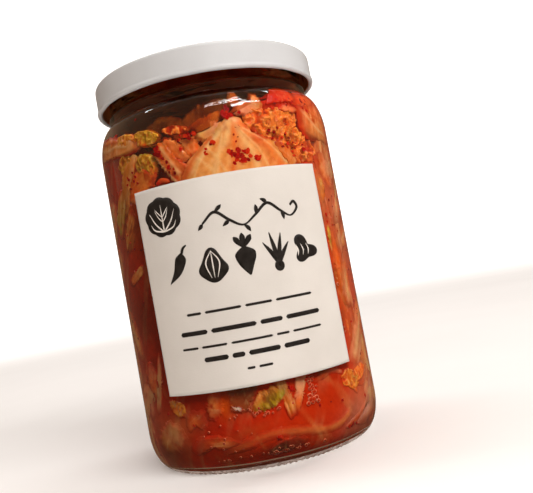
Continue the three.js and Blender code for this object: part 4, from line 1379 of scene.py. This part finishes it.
# Where flakes gather: turn, height, spread in degrees and millimetres, how many, and their size.
for middle_turn, middle_height, wide, high, count, size in (
    (11, 104.8, 2.2, 1.3, 22, 1.9),
    (6.4, 106.2, 0.8, 0.6, 5, 2.6),
    (18.5, 103.4, 0.9, 0.5, 4, 1.9),
    (8, 119.8, 1.6, 1.0, 11, 2.4),
    (-27, 111.2, 1.0, 1.0, 7, 2.4),
    (-24, 108.6, 1.2, 1.4, 4, 1.4),
    (-10.5, 114.8, 1.5, 0.7, 6, 1.5),
    (-1, 110.6, 1.2, 0.4, 4, 1.5),
    (-4.5, 108, 0.5, 1.0, 3, 1.2),
    (12, 115, 1.0, 0.3, 3, 1.2),
    (8, 111.5, 4, 1.5, 3, 0.8),
    (33, 106, 2.5, 1.5, 6, 1.3),
    (26, 113, 3.5, 2.0, 5, 1.2),
    (42, 105, 3.0, 1.2, 6, 1.5),
    (52, 121, 3, 1.2, 6, 1.6),
    (40, 122, 6, 1.4, 12, 1.3),
    (36, 109, 2.0, 1.5, 5, 1.2),
    (-21, 104, 1.5, 1.0, 4, 1.1),
    (-15, 112.5, 1.0, 1.2, 4, 1.2),
    (-47, 105.6, 2.5, 1.0, 6, 1.3),
    (5, 10.6, 1.2, 0.5, 4, 1.3),
    (34, 17, 4, 1.5, 4, 0.9),
    (44, 7, 2.5, 0.4, 4, 1.3),
    (13, 26, 0.6, 0.8, 3, 1.6),
    (70, 70, 12, 30, 60, 1.1),
    (-70, 70, 14, 30, 60, 1.1),
    (180, 65, 62, 34, 150, 1.3),
):
    for _ in range(count):
        place = random.normal(middle_turn, wide)
        level = float(np.clip(random.normal(middle_height, high), 7, 125))
        tone = FLAKE_REDS[random.integers(len(FLAKE_REDS))]
        chip = size * random.uniform(0.55, 1.3)
        flake(flakes, place, level, chip, random.uniform(0, 6.28), tone, random.uniform(-0.8, -0.6))
chilli_flake = wet_finish("chilli_flake", 0.26, 1500, 0.0001, 0.0, 0.16)
chilli_flakes = flakes.build("chilli_flakes", [chilli_flake], smooth=False)
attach(chilli_flakes, "root")


# The bubbles: gas from the fermenting, caught between the cabbage and the glass low in the jar, most
# of them in two strings beside the pale stem.
BUBBLE_RIM_HIGHLIGHT = paint(238, 150, 110)
BUBBLE_HEART = paint(150, 30, 10)
BUBBLE_SEED = 17
BUBBLE_INTO_GLASS = 0.55


def bubble(sheets, turned_by, height, size, around=14, rings=5):
    """One bubble flattened on the glass: a low dome, darker in its heart, with a pale rim that is a painted
    highlight.
    """
    angle = np.linspace(0, 2 * math.pi, around, endpoint=False)
    angle, share = np.meshgrid(angle, np.linspace(0.05, 1, rings))
    across, along = size / 2 * share * np.cos(angle), size / 2 * share * np.sin(angle)
    place, level = on_wall(turned_by, height, across, along, 0)
    dome = in_jar(place, level, -BUBBLE_INTO_GLASS - 0.15 * size * (1 - share**2))
    back = in_jar(place[-1:], level[-1:], 0.4)
    points = np.concatenate([dome, back]).reshape(-1, 3)
    quads = np.roll(ring_quads(rings + 1, around)[:, ::-1], 1, 1)
    tone = blend(brine_colour(place, level), BUBBLE_HEART, 0.4)
    # The pale rim is a painted highlight.
    tone = blend(tone, BUBBLE_RIM_HIGHLIGHT, 0.85 * ramp(0.55, 0.95, share))
    tone = np.concatenate([tone, tone[-1:]]).reshape(-1, 3)
    top = np.arange(around)
    sheets.add(points, quads, tone, (top, top[::-1] + rings * around))


bubbles = Sheets()
random = np.random.default_rng(BUBBLE_SEED)
for middle_turn, middle_height, wide, high, count, size in (
    (24, 24.6, 1.1, 2.4, 34, 0.9),
    (23, 19.8, 1.6, 1.2, 10, 1.3),
    (-2, 20, 6, 0.9, 30, 0.6),
    (8, 5.8, 8, 0.7, 34, 0.7),
    (-20, 12, 8, 5, 16, 0.6),
    (140, 30, 50, 16, 60, 0.9),
    (-120, 60, 30, 34, 40, 0.8),
):
    for _ in range(count):
        level = float(np.clip(random.normal(middle_height, high), 5.6, 120))
        bubble(bubbles, random.normal(middle_turn, wide), level, size * random.uniform(0.6, 1.7))
bubble_skin = wet_finish("bubble_skin", 0.1, 300, 0.00002)
brine_bubbles = bubbles.build("brine_bubbles", [bubble_skin])
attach(brine_bubbles, "root")


# The studio: a pale floor under the jar in a glowing white cove. The key light stands at the right front,
# three narrow strips above it give the streaks on the shoulder, weak lights fill in from the left, from
# the right and low in front, and one light shines on the cove behind.
FLOOR_COLOUR = paint(243, 242, 240)
FLOOR_LEVEL = -0.1
NEAR_FLOOR = 0.7
COVE_FLOOR = 1.6
COVE_BEND = 0.9
COVE_HEIGHT = 2.8
COVE_SIDES = 96
COVE_GLOW = 0.72


def white_board(name):
    """Matt white board, faintly mottled."""
    board = Finish(name)
    board.two_tone(board.grain(9, 4), FLOOR_COLOUR * 0.98, FLOOR_COLOUR)
    board.set("Roughness", 0.7)
    return board


pale_floor = white_board("pale_floor")
floor_points, floor_faces = swept([(0.1, FLOOR_LEVEL), (NEAR_FLOOR / MM, FLOOR_LEVEL)], COVE_SIDES)
floor = build_mesh("pale_floor", floor_points, floor_faces, [pale_floor])
floor.visible_glossy = False
floor.visible_transmission = False

lit_cove = white_board("lit_cove")
lit_cove.feed(lit_cove.tint(), "Emission Color")
lit_cove.set("Emission Strength", COVE_GLOW)
cove_line = [(radius, 0.0) for radius in np.linspace(NEAR_FLOOR, COVE_FLOOR, 12)]
cove_line += [
    (COVE_FLOOR + COVE_BEND * math.sin(a), COVE_BEND * (1 - math.cos(a)))
    for a in np.linspace(0, math.pi / 2, 24)[1:]
]
cove_line.append((COVE_FLOOR + COVE_BEND, COVE_HEIGHT))
cove_outline = [(radius / MM, height / MM + FLOOR_LEVEL) for radius, height in cove_line]
cove_points, cove_faces = swept(cove_outline, COVE_SIDES)
cove_radius = np.hypot(cove_points[:, 0], cove_points[:, 1]) * MM
cove_tint = FLOOR_COLOUR * ramp(NEAR_FLOOR, COVE_FLOOR, cove_radius)[:, None]
cove = build_mesh("lit_cove", cove_points, cove_faces, [lit_cove], None, cove_tint)
cove.visible_glossy = False
cove.visible_diffuse = False
cove.visible_transmission = False


def soft_light(name, place, aim, width, height, power, colour=(1, 1, 1), mirrored=True):
    """A rectangular studio light at a place in metres, turned to its aim. It shows in shiny surfaces
    only if it is mirrored."""
    lamp = bpy.data.lights.new(name, "AREA")
    lamp.shape = "RECTANGLE"
    lamp.size, lamp.size_y = width, height
    lamp.energy = power
    lamp.color = colour
    holder = bpy.data.objects.new(name, lamp)
    bpy.context.scene.collection.objects.link(holder)
    holder.location = place
    holder.visible_glossy = mirrored
    holder.visible_transmission = mirrored
    holder.rotation_euler = (Vector(aim) - Vector(place)).to_track_quat("-Z", "Y").to_euler()


JAR_MIDDLE = (0, 0, 0.07)
soft_light("key_light", (0.44, -0.66, 0.62), JAR_MIDDLE, 0.75, 0.24, 6.7, (1, 0.97, 0.94), mirrored=False)
for strip_number, (right, up, length) in enumerate(((0.2, 0.72, 0.5), (0.46, 0.7, 0.4), (0.28, 0.84, 0.3))):
    soft_light(f"streak_light_{strip_number}", (right, -0.5, up), JAR_MIDDLE, length, 0.022, 0.6)
soft_light("left_fill", (-1.0, -0.3, 0.4), JAR_MIDDLE, 0.5, 0.9, 0.9, (1, 0.9, 0.8), mirrored=False)
soft_light("low_fill", (-0.5, -0.9, 0.04), JAR_MIDDLE, 0.8, 0.4, 0.75, (1, 0.9, 0.8), mirrored=False)
soft_light("right_fill", (0.78, -0.42, 0.05), JAR_MIDDLE, 0.5, 0.3, 0.65, (1, 0.92, 0.88), mirrored=False)
soft_light("backdrop_light", (0, 0.4, 1.9), (0, 1.9, 0.5), 2.4, 0.6, 48.0)

WARM_ROOM = (1, 0.6, 0.36, 1)
ROOM_STRENGTH = 0.17
world = bpy.data.worlds.new("studio")
bpy.context.scene.world = world
world.use_nodes = True
world.node_tree.nodes["Background"].inputs["Color"].default_value = WARM_ROOM
world.node_tree.nodes["Background"].inputs["Strength"].default_value = ROOM_STRENGTH

# The camera: held close in front of the jar, near its middle height, looking slightly up and rolled so
# that the jar leans to the left in the picture.
CAMERA_AT = (0.0, -0.2667, 0.0631)
CAMERA_YAW = math.radians(2.82)
CAMERA_PITCH = math.radians(2.56)
CAMERA_ROLL = math.radians(-10.41)
CAMERA_LENS = 45.37

camera_data = bpy.data.cameras.new("photo_camera")
camera_data.lens = CAMERA_LENS
camera_data.sensor_width = 36.0
camera_data.sensor_fit = "HORIZONTAL"
camera_data.clip_start = 0.01
camera = bpy.data.objects.new("photo_camera", camera_data)
bpy.context.scene.collection.objects.link(camera)
forward = Vector(
    (
        math.sin(CAMERA_YAW) * math.cos(CAMERA_PITCH),
        math.cos(CAMERA_YAW) * math.cos(CAMERA_PITCH),
        math.sin(CAMERA_PITCH),
    )
)
level_right = forward.cross(Vector((0, 0, 1))).normalized()
level_up = level_right.cross(forward)
camera_right = level_right * math.cos(CAMERA_ROLL) + level_up * math.sin(CAMERA_ROLL)
camera_up = level_up * math.cos(CAMERA_ROLL) - level_right * math.sin(CAMERA_ROLL)
camera.matrix_world = Matrix(
    (
        (camera_right.x, camera_up.x, -forward.x, CAMERA_AT[0]),
        (camera_right.y, camera_up.y, -forward.y, CAMERA_AT[1]),
        (camera_right.z, camera_up.z, -forward.z, CAMERA_AT[2]),
        (0, 0, 0, 1),
    )
)
bpy.context.scene.camera = camera
bpy.context.scene.view_settings.view_transform = "Standard"
bpy.context.scene.cycles.use_denoising = True
bpy.context.scene.cycles.transmission_bounces = 14
bpy.context.scene.cycles.max_bounces = 16
